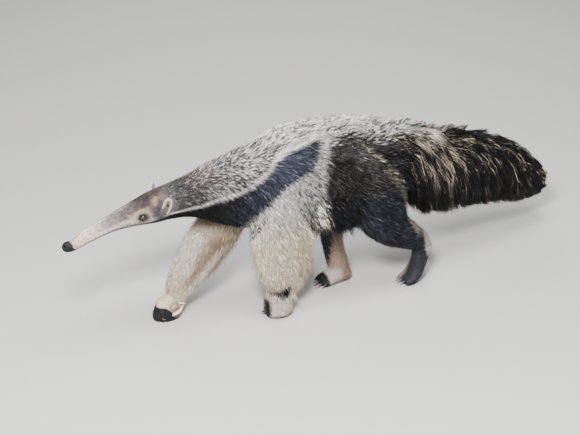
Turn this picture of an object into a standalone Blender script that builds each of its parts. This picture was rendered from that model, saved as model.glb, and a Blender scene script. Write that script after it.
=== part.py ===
"""Giant anteater, life size, walking: a still museum model with its coat built as locks.

Metres, +Z up. The head points to -X and the animal's left side faces -Y. Sizes are worked out in
the animal's own frame, with the floor at z 0, the middle plane at y 0 and x 0 over the planted
left fore foot, and the finished model is then set down with the middle of its base at the origin.
"""

import math
import random

import bmesh
import bpy
import numpy as np
from mathutils import Matrix, Vector

# Driving sizes
GAP = 0.0003            # between pieces that touch
VOXEL = 0.0065          # grain of the modelled body before it is faceted
BODY_FACES = 2800       # facets of the whole body, coat locks apart
BODY_SOFT_STEPS = 14    # rounds of smoothing where the limbs join the trunk
FAR = 3.0               # larger than the animal

# The trunk, out to the short coat: x, top, bottom, half width
TRUNK = (
    (-0.7155, 0.3810, 0.3680, 0.0075),   # nose tip
    (-0.7115, 0.3885, 0.3610, 0.0125),
    (-0.7010, 0.3935, 0.3560, 0.0165),
    (-0.6800, 0.3960, 0.3560, 0.0185),
    (-0.6500, 0.4140, 0.3640, 0.0193),
    (-0.6190, 0.4265, 0.3755, 0.0205),   # snout
    (-0.5490, 0.4560, 0.3945, 0.0275),
    (-0.4800, 0.4815, 0.4010, 0.0400),   # before the eyes
    (-0.4100, 0.5065, 0.3995, 0.0540),   # before the ears
    (-0.3400, 0.5225, 0.4010, 0.0640),   # occiput
    (-0.2700, 0.5425, 0.3880, 0.0740),
    (-0.1980, 0.5710, 0.3540, 0.0870),   # neck
    (-0.1270, 0.5900, 0.3220, 0.1030),
    (-0.0550, 0.6060, 0.3070, 0.1200),   # chest
    (0.0180, 0.6170, 0.3020, 0.1300),    # shoulders
    (0.0910, 0.6280, 0.2980, 0.1330),
    (0.1650, 0.6320, 0.2860, 0.1310),    # back
    (0.2400, 0.6260, 0.2820, 0.1270),
    (0.3100, 0.6140, 0.2920, 0.1260),    # loin
    (0.3800, 0.5950, 0.3200, 0.1190),
    (0.4400, 0.5740, 0.3620, 0.0980),    # rump
    (0.5050, 0.5620, 0.4000, 0.0860),
)
TRUNK_WIDEST = 0.45     # height of the widest level, as a share of each section
TRUNK_PITCH = 0.012     # distance between finished sections
TRUNK_SIDES = 28
TAIL_SIDES = 16
TAIL_STEPS = 12
TAIL_CORE_END = 0.955   # where the core ends, as a share of the tail's length
TAIL_WIDEST = 0.60

# The tail out to its hair tips: x, y, top, bottom, half width
TAIL = (
    (0.4500, 0.000, 0.5740, 0.3900, 0.080),
    (0.5400, 0.010, 0.5820, 0.2600, 0.098),
    (0.6200, 0.025, 0.5610, 0.1950, 0.110),
    (0.7000, 0.040, 0.5330, 0.1720, 0.116),
    (0.8000, 0.060, 0.5050, 0.1640, 0.116),
    (0.9000, 0.085, 0.4650, 0.1500, 0.110),
    (1.0000, 0.105, 0.4180, 0.1260, 0.100),
    (1.1000, 0.125, 0.3450, 0.1100, 0.082),
    (1.1800, 0.140, 0.2650, 0.1120, 0.056),
    (1.2250, 0.148, 0.1950, 0.1320, 0.022),
)

# Limbs, from the trunk to the floor: x, y, z, half length along the step, half width
LEFT_FORE = (
    (0.012, -0.070, 0.410, 0.110, 0.058),
    (0.012, -0.080, 0.310, 0.115, 0.062),   # elbow
    (0.012, -0.084, 0.225, 0.102, 0.063),
    (0.014, -0.083, 0.165, 0.090, 0.058),   # forearm
    (0.014, -0.080, 0.127, 0.073, 0.051),
    (0.012, -0.077, 0.098, 0.053, 0.042),   # wrist
    (0.010, -0.075, 0.060, 0.050, 0.044),
    (0.008, -0.074, 0.020, 0.050, 0.043),   # sole
    (0.008, -0.074, -0.012, 0.039, 0.034),
)
RIGHT_FORE = (
    (-0.028, 0.070, 0.420, 0.088, 0.058),
    (-0.104, 0.076, 0.340, 0.082, 0.061),
    (-0.160, 0.079, 0.272, 0.087, 0.061),   # elbow
    (-0.212, 0.080, 0.202, 0.081, 0.057),   # forearm
    (-0.260, 0.078, 0.142, 0.067, 0.049),
    (-0.290, 0.076, 0.100, 0.049, 0.042),
    (-0.304, 0.075, 0.070, 0.038, 0.038),   # wrist
    (-0.327, 0.075, 0.036, 0.049, 0.042),
    (-0.342, 0.075, 0.006, 0.048, 0.040),   # sole
    (-0.344, 0.075, -0.014, 0.036, 0.032),
)
LEFT_HIND = (
    (0.360, -0.066, 0.450, 0.110, 0.056),
    (0.374, -0.086, 0.365, 0.114, 0.068),   # thigh
    (0.400, -0.092, 0.290, 0.098, 0.066),
    (0.441, -0.090, 0.234, 0.074, 0.056),   # knee
    (0.497, -0.087, 0.196, 0.056, 0.046),   # shank
    (0.543, -0.084, 0.166, 0.043, 0.038),
    (0.568, -0.082, 0.148, 0.033, 0.030),   # heel
)
LEFT_HIND_FOOT = (
    (0.566, -0.082, 0.158, 0.032, 0.030),   # heel
    (0.563, -0.080, 0.124, 0.034, 0.035),
    (0.555, -0.077, 0.082, 0.030, 0.036),
    (0.542, -0.073, 0.044, 0.027, 0.040),
    (0.521, -0.070, 0.019, 0.021, 0.043),
    (0.497, -0.068, 0.010, 0.014, 0.039),   # toes
)
RIGHT_HIND = (
    (0.380, 0.066, 0.440, 0.108, 0.056),
    (0.345, 0.080, 0.340, 0.098, 0.062),    # thigh
    (0.305, 0.076, 0.255, 0.069, 0.052),    # knee
    (0.286, 0.066, 0.185, 0.047, 0.041),    # shank
    (0.291, 0.058, 0.125, 0.041, 0.036),
    (0.304, 0.052, 0.070, 0.041, 0.035),    # ankle
    (0.311, 0.050, 0.024, 0.037, 0.033),
)
RIGHT_HIND_FOOT = (
    (0.350, 0.050, 0.026, 0.020, 0.022),    # heel
    (0.330, 0.050, 0.027, 0.029, 0.032),
    (0.292, 0.050, 0.028, 0.030, 0.037),
    (0.262, 0.049, 0.021, 0.024, 0.041),
    (0.242, 0.047, 0.014, 0.017, 0.041),
    (0.229, 0.046, 0.010, 0.012, 0.034),    # toes
)
LIMB_SIDES = 20
LIMB_STEPS = 3          # finished sections between two rows

# Coat locks: along each lock, its place, its share of the full width and of the full thickness
LOCK_PROFILE = ((0.0, 0.60, 1.0), (0.38, 1.0, 1.0), (0.72, 0.70, 0.75), (1.0, 0.07, 0.30))
LOCK_SEED = 7
TAIL_CORE = 0.48        # the tail's solid core, as a share of the way to the hair tips
TAIL_DOCK = 0.84        # the same share where the tail leaves the rump
TAIL_DOCK_RUN = 0.20    # how far along the tail the dock thins to the core
TAIL_SINK = 0.12        # how deep the locks are rooted, as a share of the way to the tips
TAIL_RINGS = 8          # rings of locks along the tail
TAIL_RING_PLACES = (-0.03, 0.81)        # the first ring's place, and the rings' span from it
TAIL_HEM = 12           # further locks along its lower edge
TAIL_HEM_PLACES = (0.04, 0.72)
TAIL_HEM_LENGTH = 0.7   # a hem lock's share of a full lock
TAIL_LOCKS = 11         # locks in each ring
TAIL_LOCK_RUN = 0.24    # how far a lock runs along the tail, as a share of its length
TAIL_LOCK_FALL = (0.10, 0.50)           # how far a lock turns down, in radians: at the top, and at the side
TAIL_LOCK_SLIMS = 0.45  # how much narrower the locks grow towards the tail's end
TAIL_LOCK_WIDE = 0.070
TAIL_LOCK_THICK = 0.009
TRUNK_LOCK_ROOT = 0.010                 # how deep a lock of the trunk is rooted
MANE_TURNS = (-0.085, -0.03, 0.03, 0.085)       # each row's place round the trunk, in turns from its top
MANE_FROM, MANE_TO = -0.13, 0.43
MANE_LOCKS = 11         # locks in each row
MANE_RUN = 0.085
MANE_FALL = 0.25
MANE_RISE = 0.015
MANE_LOCK_WIDE = 0.040
FRINGE_LOCKS = 8        # locks along each flank's lower edge
FRINGE_FROM, FRINGE_TO = 0.135, 0.36
FRINGE_TURNS = (0.33, 0.37)             # how far round from the top they leave the trunk, in turns
FRINGE_RUN = 0.045
FRINGE_FALL = 0.05      # turns
FRINGE_RISE = 0.012
FRINGE_DROP = 0.040
FRINGE_LOCK_WIDE = 0.045
LEG_LOCKS = 6           # locks down the rear of each fore leg
LEG_LOCK_PLACES = (0.18, 0.46)          # the stretch of the leg that they leave from
LEG_LOCK_DROP = 0.060
LEG_LOCK_REACH = 0.022
LEG_LOCK_ROOT = 0.014
LEG_LOCK_WIDE = 0.036
BODY_LOCK_THICK = 0.006

# Where the body is parted: a point on the cut and the direction that the parted piece lies in
HEAD_CUT = ((-0.335, 0.0, 0.465), (-0.985, 0.0, -0.17))
SNOUT_CUT = ((-0.512, 0.0, 0.435), (-0.93, 0.0, -0.37))
NECK_CUT = ((-0.175, 0.0, 0.470), (-0.950, 0.0, 0.310))
TAIL_START = 0.478
TAIL_FOOT = 0.375       # the trunk ends at the tail above this level
TAIL_CLEAR = 0.008      # the tail keeps this far from the hind legs
FORE_LEG_CUT = ((0.0, 0.0, 0.300), (0.0, 0.0, -1.0))
HIND_LEG_CUT = ((0.240, 0.0, 0.284), (0.40, 0.0, -0.917))
LEFT_WRIST_CUT = ((0.0, 0.0, 0.099), (0.0, 0.0, -1.0))
RIGHT_WRIST_CUT = ((-0.312, 0.0, 0.074), (-0.35, 0.0, -0.937))
LEFT_HEEL_CUT = ((0.542, 0.0, 0.158), (0.88, 0.0, -0.475))
RIGHT_HEEL_CUT = ((0.300, 0.0, 0.074), (0.0, 0.0, -1.0))

# Head
EYE = (-0.4535, 0.0380, 0.4430)
EYE_RADIUS = 0.0105
LID_THICKNESS = 0.0030
EAR = (-0.3775, 0.0595, 0.4750)
EAR_HALF = (0.0140, 0.0085, 0.0300)     # half length, thickness and height
EAR_WALL = 0.0032
EAR_LEAN = 24           # degrees outwards
EAR_TURN = 28           # degrees that the cup faces forwards
NOSTRIL = (-0.7100, 0.0105, 0.3800)
NOSTRIL_HALF = (0.0050, 0.0024, 0.0032)
MOUTH_LEVEL = 0.3675
MOUTH_LENGTH = 0.030
MOUTH_SLIT = 0.0016

COAT = {
    "grey": ((0.33, 0.31, 0.30), 0.85),
    "black": ((0.035, 0.036, 0.042), 0.80),
    "dark": ((0.10, 0.09, 0.085), 0.85),
    "cream": ((0.62, 0.55, 0.44), 0.85),
    "tan": ((0.50, 0.38, 0.29), 0.80),
    "claw": ((0.52, 0.45, 0.36), 0.40),
    "eye": ((0.03, 0.02, 0.015), 0.08),
}


def clear_scene():
    for obj in list(bpy.data.objects):
        bpy.data.objects.remove(obj, do_unlink=True)


def material(name):
    colour, rough = COAT[name]
    made = bpy.data.materials.get(name) or bpy.data.materials.new(name)
    made.use_nodes = True
    shader = made.node_tree.nodes["Principled BSDF"]
    shader.inputs["Base Color"].default_value = (*colour, 1.0)
    shader.inputs["Roughness"].default_value = rough
    shader.inputs["Metallic"].default_value = 0.0
    return made


def new_object(name, mesh, finish="grey"):
    obj = bpy.data.objects.new(name, mesh)
    bpy.context.scene.collection.objects.link(obj)
    obj.data.materials.clear()
    obj.data.materials.append(material(finish))
    return obj


def remove(obj):
    bpy.data.objects.remove(obj, do_unlink=True)


def smooth_rows(rows, steps):
    """Rows of numbers with steps - 1 further rows on a smooth curve between each two."""
    rows = np.array(rows, float)
    padded = np.vstack([2 * rows[0] - rows[1], rows, 2 * rows[-1] - rows[-2]])
    made = []
    for i in range(1, len(padded) - 2):
        before, start, end, after = padded[i - 1:i + 3]
        for k in range(steps):
            t = k / steps
            made.append(0.5 * (
                2 * start + (end - before) * t
                + (2 * before - 5 * start + 4 * end - after) * t * t
                + (3 * start - before - 3 * end + after) * t * t * t
            ))
    return np.array([*made, rows[-1]])


def mesh_of(name, rings):
    """A closed mesh through rings of points, with both ends capped."""
    sides = len(rings[0])
    points = [tuple(p) for ring in rings for p in ring]
    faces = []
    for r in range(len(rings) - 1):
        for s in range(sides):
            a, b = r * sides + s, r * sides + (s + 1) % sides
            faces.append((a, b, b + sides, a + sides))
    faces.append(tuple(reversed(range(sides))))
    faces.append(tuple(range((len(rings) - 1) * sides, len(rings) * sides)))
    mesh = bpy.data.meshes.new(name)
    mesh.from_pydata(points, [], faces)
    return facing_out(mesh)


def facing_out(mesh):
    built = bmesh.new()
    built.from_mesh(mesh)
    bmesh.ops.recalc_face_normals(built, faces=built.faces)
    built.to_mesh(mesh)
    built.free()
    return mesh


def upright_ring(x, y, top, bottom, half_width, widest, sides):
    """A section of trunk or tail, in a plane across X."""
    level = bottom + widest * (top - bottom)
    ring = []
    for k in range(sides):
        angle = 2 * math.pi * k / sides
        up = math.cos(angle)
        height = (top - level) if up > 0 else (level - bottom)
        ring.append((x, y + half_width * math.sin(angle), level + height * up))
    return ring


def trunk_mesh():
    length = TRUNK[-1][0] - TRUNK[0][0]
    rows = smooth_rows(TRUNK, max(1, round(length / TRUNK_PITCH / len(TRUNK))))
    rings = [upright_ring(x, 0.0, top, bottom, wide, TRUNK_WIDEST, TRUNK_SIDES)
             for x, top, bottom, wide in rows]
    return mesh_of("trunk", rings)


def lock(points, outward, width, thickness):
    """One flat, tapered lock through a root, two bends and a tip, with its flat side outward."""
    rings = []
    for k, (_, wide, thick) in enumerate(LOCK_PROFILE):
        along = (points[min(k + 1, 3)] - points[max(k - 1, 0)]).normalized()
        face = (outward[k] - along * outward[k].dot(along)).normalized()
        side = along.cross(face)
        edge = side * (width * wide / 2)
        rings.append([points[k] + edge, points[k] + face * (thickness * thick), points[k] - edge])
    return mesh_of("lock", rings)


def tail_point(rows, place, angle, share):
    """A point of the tail: its place from 0 to 1, the angle from the top, and the share out."""
    at = min(max(place, 0.0), 1.0) * (len(rows) - 1)
    low = min(int(at), len(rows) - 2)
    x, y, top, bottom, wide = rows[low] + (rows[low + 1] - rows[low]) * (at - low)
    level = bottom + TAIL_WIDEST * (top - bottom)
    up = math.cos(angle)
    height = (top - level) if up > 0 else (level - bottom)
    return Vector((x, y + share * wide * math.sin(angle), level + share * height * up))


def core_share(place):
    """How far out the tail's core reaches at a place along it."""
    thin = min(1.0, max(0.0, place / TAIL_DOCK_RUN))
    return TAIL_DOCK + (TAIL_CORE - TAIL_DOCK) * thin


def about(chance, spread):
    """A factor within spread of 1."""
    return chance.uniform(1 - spread, 1 + spread)


def tail_locks(rows):
    """Rings of long locks that leave the core, run back along the tail and hang at its sides."""
    chance = random.Random(LOCK_SEED)
    starts = []
    first, span = TAIL_RING_PLACES
    for ring in range(TAIL_RINGS):
        for k in range(TAIL_LOCKS):
            place = first + span * (ring + chance.uniform(-0.35, 0.35)) / (TAIL_RINGS - 1)
            angle = 2 * math.pi * (k + 0.5 * (ring % 2) + chance.uniform(-0.25, 0.25)) / TAIL_LOCKS
            starts.append((place, angle - 2 * math.pi if angle > math.pi else angle, 1.0))
    first, span = TAIL_HEM_PLACES
    for k in range(TAIL_HEM):
        place = first + span * (k + chance.uniform(-0.2, 0.2)) / (TAIL_HEM - 1)
        starts.append((place, (1 if k % 2 else -1) * chance.uniform(2.5, 3.0), TAIL_HEM_LENGTH))
    return [tail_lock(rows, chance, *start) for start in starts]


def tail_lock(rows, chance, place, angle, length):
    """A lock rooted in the core at a place and an angle, with its tip at the outline."""
    least, most = TAIL_LOCK_FALL
    fall = math.copysign(most * math.sin(abs(angle)) + least, angle) * about(chance, 0.3)
    run = TAIL_LOCK_RUN * length * about(chance, 0.15)
    run = min(run, chance.uniform(0.93, 1.0) - place)
    reach = chance.uniform(0.97, 1.0)
    root = core_share(place) - TAIL_SINK
    shares = (root, 0.45 * root + 0.55 * reach, 0.15 * root + 0.85 * reach, reach)
    lowest = math.pi - chance.uniform(0.01, 0.15)
    points = []
    outward = []
    for (along, _, _), share in zip(LOCK_PROFILE, shares):
        turned = min(max(angle + fall * along, -lowest), lowest)
        inner = tail_point(rows, place + run * along, turned, 0.0)
        point = tail_point(rows, place + run * along, turned, share)
        points.append(point)
        outward.append((point - inner).normalized())
    slim = 1.0 - TAIL_LOCK_SLIMS * max(0.0, place)
    wide = TAIL_LOCK_WIDE * slim * chance.uniform(0.8, 1.15)
    return lock(points, outward, wide, TAIL_LOCK_THICK)


def trunk_rows():
    return smooth_rows(TRUNK, 2)


def trunk_point(rows, x, angle, off):
    """A point off the trunk at x, at an angle from its top, and the way out from the trunk there."""
    top, bottom, wide = (np.interp(x, rows[:, 0], rows[:, k]) for k in (1, 2, 3))
    level = bottom + TRUNK_WIDEST * (top - bottom)
    up = math.cos(angle)
    height = (top - level) if up > 0 else (level - bottom)
    out = Vector((0.0, math.sin(angle) / wide, up / height)).normalized()
    return Vector((x, wide * math.sin(angle), level + height * up)) + out * off, out


def trunk_lock(rows, start, run, angle, fall, rise, wide, drop=0.0):
    """A lock of the trunk that leaves at x start and angle, and lies back over run."""
    points = []
    outward = []
    for (along, _, _), off in zip(LOCK_PROFILE, (-TRUNK_LOCK_ROOT, 0.35 * rise, 0.75 * rise, rise)):
        point, out = trunk_point(rows, start + run * along, angle + fall * along, off)
        points.append(point - Vector((0.0, 0.0, drop * along * along)))
        outward.append(out)
    return lock(points, outward, wide, BODY_LOCK_THICK)


def mane_locks():
    """The mane: locks in rows along the back that lie back and stand a little off it."""
    chance = random.Random(LOCK_SEED + 1)
    rows = trunk_rows()
    made = []
    for row, turn in enumerate(MANE_TURNS):
        for k in range(MANE_LOCKS):
            step = (k + 0.5 * (row % 2) + chance.uniform(-0.3, 0.3)) / MANE_LOCKS
            start = MANE_FROM + (MANE_TO - MANE_FROM) * step
            angle = 2 * math.pi * turn * about(chance, 0.2)
            swell = 0.35 + 0.65 * math.sin(math.pi * min(1.0, step))
            rise = MANE_RISE * chance.uniform(0.8, 1.15) * swell
            run = MANE_RUN * about(chance, 0.15)
            fall = math.copysign(MANE_FALL, turn)
            made.append(trunk_lock(rows, start, run, angle, fall, rise, MANE_LOCK_WIDE))
    return made


def fringe_locks():
    """Locks that hang from the lower edge of both flanks."""
    chance = random.Random(LOCK_SEED + 2)
    rows = trunk_rows()
    made = []
    for side in (-1, 1):
        for k in range(FRINGE_LOCKS):
            step = (k + chance.uniform(0.2, 0.8)) / FRINGE_LOCKS
            start = FRINGE_FROM + (FRINGE_TO - FRINGE_FROM) * step
            angle = side * 2 * math.pi * chance.uniform(*FRINGE_TURNS)
            fall = side * 2 * math.pi * FRINGE_FALL
            drop = FRINGE_DROP * about(chance, 0.2)
            wide = FRINGE_LOCK_WIDE
            made.append(trunk_lock(rows, start, FRINGE_RUN, angle, fall, FRINGE_RISE, wide, drop))
    return made


def leg_locks(rows, side):
    """Locks down the rear of a fore leg, turned to its two sides by turns."""
    chance = random.Random(LOCK_SEED + 3 + side)
    rows = smooth_rows(rows, LIMB_STEPS)
    first, last = (place * len(rows) for place in LEG_LOCK_PLACES)
    offs = (-LEG_LOCK_ROOT, 0.25 * LEG_LOCK_REACH, 0.65 * LEG_LOCK_REACH, LEG_LOCK_REACH)
    made = []
    for k in range(LEG_LOCKS):
        at = int(first + (last - first) * (k + chance.uniform(0.2, 0.8)) / LEG_LOCKS)
        x, y, z, fore, wide = rows[at]
        turn = 0.45 if k % 2 else -0.45
        out = Vector((0.90, turn, 0.0)).normalized()
        rear = Vector((x + fore * 0.86, y + wide * turn, z))
        down = Vector(rows[at + 2][:3]) - Vector(rows[at][:3])
        down = down.normalized() * LEG_LOCK_DROP * about(chance, 0.15)
        points = [rear + out * off + down * row[0] for off, row in zip(offs, LOCK_PROFILE)]
        made.append(lock(points, [out] * 4, LEG_LOCK_WIDE, BODY_LOCK_THICK))
    return made


def add_locks(obj, meshes, solver="EXACT"):
    """Fuses locks with the piece that they grow from."""
    locks = bpy.data.collections.new("locks")
    for mesh in meshes:
        locks.objects.link(bpy.data.objects.new("lock", mesh))
    boolean(obj, locks, "UNION", solver)
    for strand in list(locks.objects):
        remove(strand)
    bpy.data.collections.remove(locks)
    return keep_largest(obj)


def tail():
    """The tail from the trunk back, kept clear of the hind legs."""
    rows = smooth_rows(TAIL, 2)
    rings = []
    for place in np.linspace(0.0, TAIL_CORE_END, TAIL_STEPS):
        rings.append([tail_point(rows, place, 2 * math.pi * k / TAIL_SIDES, core_share(place))
                      for k in range(TAIL_SIDES)])
    made = new_object("tail", mesh_of("tail", rings), "dark")
    add_locks(made, tail_locks(rows), "MANIFOLD")
    front = box("front", (-FAR, -FAR, -1.0), (TAIL_START + GAP, FAR, FAR))
    boolean(made, front, "DIFFERENCE", "MANIFOLD")
    remove(front)
    for limb in (LEFT_HIND, LEFT_HIND_FOOT, RIGHT_HIND):
        grown = [(x, y, z, fore + TAIL_CLEAR, wide + TAIL_CLEAR) for x, y, z, fore, wide in limb]
        leg = new_object("leg", limb_mesh("leg", grown))
        boolean(made, leg, "DIFFERENCE", "MANIFOLD")
        remove(leg)
    return keep_largest(made)


def limb_mesh(name, rows):
    """A limb through its rows, with each section square to its run."""
    rows = smooth_rows(rows, LIMB_STEPS)
    run = np.gradient(rows[:, :3], axis=0)
    rings = []
    for row, way in zip(rows, run):
        along = Vector(way).normalized()
        across = Vector((0.0, 1.0, 0.0))
        across = (across - along * across.dot(along)).normalized()
        forward = along.cross(across)
        centre = Vector(row[:3])
        ring = []
        for k in range(LIMB_SIDES):
            angle = 2 * math.pi * k / LIMB_SIDES
            ring.append(centre + forward * (row[3] * math.cos(angle)) + across * (row[4] * math.sin(angle)))
        rings.append(ring)
    return mesh_of(name, rings)


def apply_modifiers(obj):
    graph = bpy.context.evaluated_depsgraph_get()
    mesh = bpy.data.meshes.new_from_object(obj.evaluated_get(graph))
    obj.modifiers.clear()
    obj.data = mesh
    return obj


def joined(name, meshes):
    """One object that holds several closed meshes, still apart."""
    built = bmesh.new()
    for mesh in meshes:
        built.from_mesh(mesh)
    mesh = bpy.data.meshes.new(name)
    built.to_mesh(mesh)
    built.free()
    return new_object(name, mesh)


def smooth_weight(point):
    """How strongly a point of the body is smoothed: fully where limbs join, little on thin ends."""
    head = min(1.0, max(0.0, (point.x + 0.42) / 0.20))
    foot = min(1.0, max(0.0, (point.z - 0.07) / 0.12))
    return 0.12 + 0.88 * min(head, foot)


def boolean(obj, other, operation, solver="EXACT"):
    """Applies one Boolean of obj with other, which may be an object or a collection."""
    cut = obj.modifiers.new(operation.title(), "BOOLEAN")
    cut.operation = operation
    cut.solver = solver
    if isinstance(other, bpy.types.Collection):
        cut.operand_type = "COLLECTION"
        cut.collection = other
    else:
        cut.object = other
    return apply_modifiers(obj)


def body():
    """The whole animal in one closed, faceted piece, standing on flat soles."""
    made = joined("body", [
        trunk_mesh(),
        limb_mesh("left_fore", LEFT_FORE), limb_mesh("right_fore", RIGHT_FORE),
        limb_mesh("left_hind", LEFT_HIND), limb_mesh("right_hind", RIGHT_HIND),
        limb_mesh("left_hind_foot", LEFT_HIND_FOOT), limb_mesh("right_hind_foot", RIGHT_HIND_FOOT),
    ])
    fuse = made.modifiers.new("Fuse", "REMESH")
    fuse.mode = "VOXEL"
    fuse.voxel_size = VOXEL
    apply_modifiers(made)
    group = made.vertex_groups.new(name="soft")
    for vertex in made.data.vertices:
        group.add([vertex.index], smooth_weight(vertex.co), "REPLACE")
    soften = made.modifiers.new("Soften", "SMOOTH")
    soften.factor = 0.5
    soften.iterations = BODY_SOFT_STEPS
    soften.vertex_group = "soft"
    apply_modifiers(made)
    facet = made.modifiers.new("Facet", "DECIMATE")
    facet.ratio = BODY_FACES / (2 * len(made.data.polygons))
    facet.use_collapse_triangulate = True
    apply_modifiers(made)
    made.vertex_groups.clear()
    floor = box("floor", (-FAR, -FAR, -1.0), (FAR, FAR, 0.0))
    boolean(made, floor, "DIFFERENCE")
    remove(floor)
    add_locks(made, [*mane_locks(), *fringe_locks(), *leg_locks(LEFT_FORE, -1), *leg_locks(RIGHT_FORE, 1)])
    behind = box("behind", (TAIL_START, -FAR, TAIL_FOOT), (FAR, FAR, FAR))
    boolean(made, behind, "DIFFERENCE")
    remove(behind)
    return made


def box(name, low, high):
    built = bmesh.new()
    bmesh.ops.create_cube(built, size=1.0)
    size = Vector(high) - Vector(low)
    middle = (Vector(high) + Vector(low)) / 2
    bmesh.ops.scale(built, verts=built.verts, vec=size)
    bmesh.ops.translate(built, verts=built.verts, vec=middle)
    mesh = bpy.data.meshes.new(name)
    built.to_mesh(mesh)
    built.free()
    obj = new_object(name, mesh)
    obj.hide_render = True
    obj.display_type = "WIRE"
    return obj


def cell(cut, side, x_range, grow=0.0):
    """The space that a parted piece lies in: beyond its cut, on one side and within x_range."""
    point, direction = Vector(cut[0]), Vector(cut[1]).normalized()
    space = box("cell", (x_range[0] - grow, -FAR, -1.0), (x_range[1] + grow, FAR, FAR))
    if side:
        inner = 0.004 - grow
        low, high = (inner, FAR) if side > 0 else (-FAR, -inner)
        for vertex in space.data.vertices:
            vertex.co.y = high if vertex.co.y > 0 else low
    built = bmesh.new()
    built.from_mesh(space.data)
    plane = point - direction * grow
    bmesh.ops.bisect_plane(
        built, geom=built.verts[:] + built.edges[:] + built.faces[:], plane_co=plane,
        plane_no=direction, clear_inner=True,
    )
    bmesh.ops.holes_fill(built, edges=[e for e in built.edges if e.is_boundary])
    bmesh.ops.recalc_face_normals(built, faces=built.faces)
    built.to_mesh(space.data)
    built.free()
    return space


def part_off(whole, name, finish, cut, side=0, x_range=(-FAR, FAR)):
    """Takes the piece beyond a cut from whole, and leaves a thin gap between the two."""
    piece = new_object(name, whole.data.copy(), finish)
    space = cell(cut, side, x_range)
    boolean(piece, space, "INTERSECT")
    remove(space)
    space = cell(cut, side, x_range, GAP)
    boolean(whole, space, "DIFFERENCE")
    remove(space)
    piece.data.materials.clear()
    piece.data.materials.append(material(finish))
    keep_largest(piece)
    keep_largest(whole)
    return piece


def keep_largest(obj):
    """Keeps the largest closed surface of an object and drops any scrap or sealed hollow."""
    built = bmesh.new()
    built.from_mesh(obj.data)
    unseen = set(built.faces)
    groups = []
    while unseen:
        front = [unseen.pop()]
        group = list(front)
        while front:
            face = front.pop()
            for edge in face.edges:
                for other in edge.link_faces:
                    if other in unseen:
                        unseen.remove(other)
                        front.append(other)
                        group.append(other)
        groups.append(group)
    groups.sort(key=lambda group: sum(face.calc_area() for face in group))
    for group in groups[:-1]:
        bmesh.ops.delete(built, geom=group, context="FACES")
    bmesh.ops.triangulate(built, faces=built.faces)
    built.to_mesh(obj.data)
    built.free()
    return obj


def ball(name, centre, half, turn=None, segments=14, rings=8, finish="grey"):
    """An ellipsoid of half sizes, turned by a matrix and set at a centre."""
    built = bmesh.new()
    bmesh.ops.create_uvsphere(built, u_segments=segments, v_segments=rings, radius=1.0)
    bmesh.ops.scale(built, verts=built.verts, vec=Vector(half))
    if turn:
        bmesh.ops.transform(built, matrix=turn.to_4x4(), verts=built.verts)
    bmesh.ops.translate(built, verts=built.verts, vec=Vector(centre))
    mesh = bpy.data.meshes.new(name)
    built.to_mesh(mesh)
    built.free()
    return new_object(name, mesh, finish)


def tube(name, points, radii, sides=6, finish="grey"):
    """A tapered tube through points, such as a claw or a lid."""
    points = [Vector(p) for p in points]
    rings = []
    across = None
    for i, (point, radius) in enumerate(zip(points, radii)):
        along = (points[min(i + 1, len(points) - 1)] - points[max(i - 1, 0)]).normalized()
        across = (across or along.orthogonal())
        across = (across - along * across.dot(along)).normalized()
        other = along.cross(across)
        rings.append([point + across * (radius * math.cos(2 * math.pi * k / sides))
                      + other * (radius * math.sin(2 * math.pi * k / sides)) for k in range(sides)])
    return new_object(name, mesh_of(name, rings), finish)


def ear_turn(side):
    """The turn of an ear: its cup faces outwards and a little forwards, its top leans out."""
    turn = Matrix.Rotation(math.radians(side * -EAR_TURN), 3, "Z")
    return Matrix.Rotation(math.radians(-side * EAR_LEAN), 3, "X") @ turn


def ear(name, side, grow=0.0):
    """An ear as a cup, its root sunk in the head."""
    turn = ear_turn(side)
    half = Vector(EAR_HALF) + Vector((grow,) * 3)
    centre = Vector((EAR[0], side * EAR[1], EAR[2]))
    made = ball(name, centre, half, turn, 10, 7, "tan")
    if grow:
        return made
    hollow_half = Vector(EAR_HALF) - Vector((EAR_WALL, 0.0, EAR_WALL * 1.5))
    offset = turn @ Vector((0.0, side * EAR_HALF[1] * 0.95, EAR_HALF[2] * 0.10))
    hollow = ball("hollow", centre + offset, hollow_half, turn, 10, 7)
    boolean(made, hollow, "DIFFERENCE")
    remove(hollow)
    return keep_largest(made)


def lid_arc(side, upper):
    """The upper or lower lid: a tube that follows the edge of the eye's opening."""
    centre = Vector((EYE[0], side * EYE[1], EYE[2]))
    reach = EYE_RADIUS + 0.0006
    points = []
    radii = []
    for k in range(7):
        angle = math.radians(-10 + 200 * k / 6)
        height = math.sin(angle) * (0.62 if upper else -0.66)
        length = math.cos(angle) * 1.12
        depth = math.sqrt(max(0.05, 1.0 - height * height - 0.55 * length * length))
        points.append(centre + Vector((length, side * depth, height + 0.05)) * reach)
        radii.append(LID_THICKNESS * (0.62 + 0.38 * math.sin(math.radians(180 * k / 6))))
    return tube("lid", points, radii, sides=6)


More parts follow.
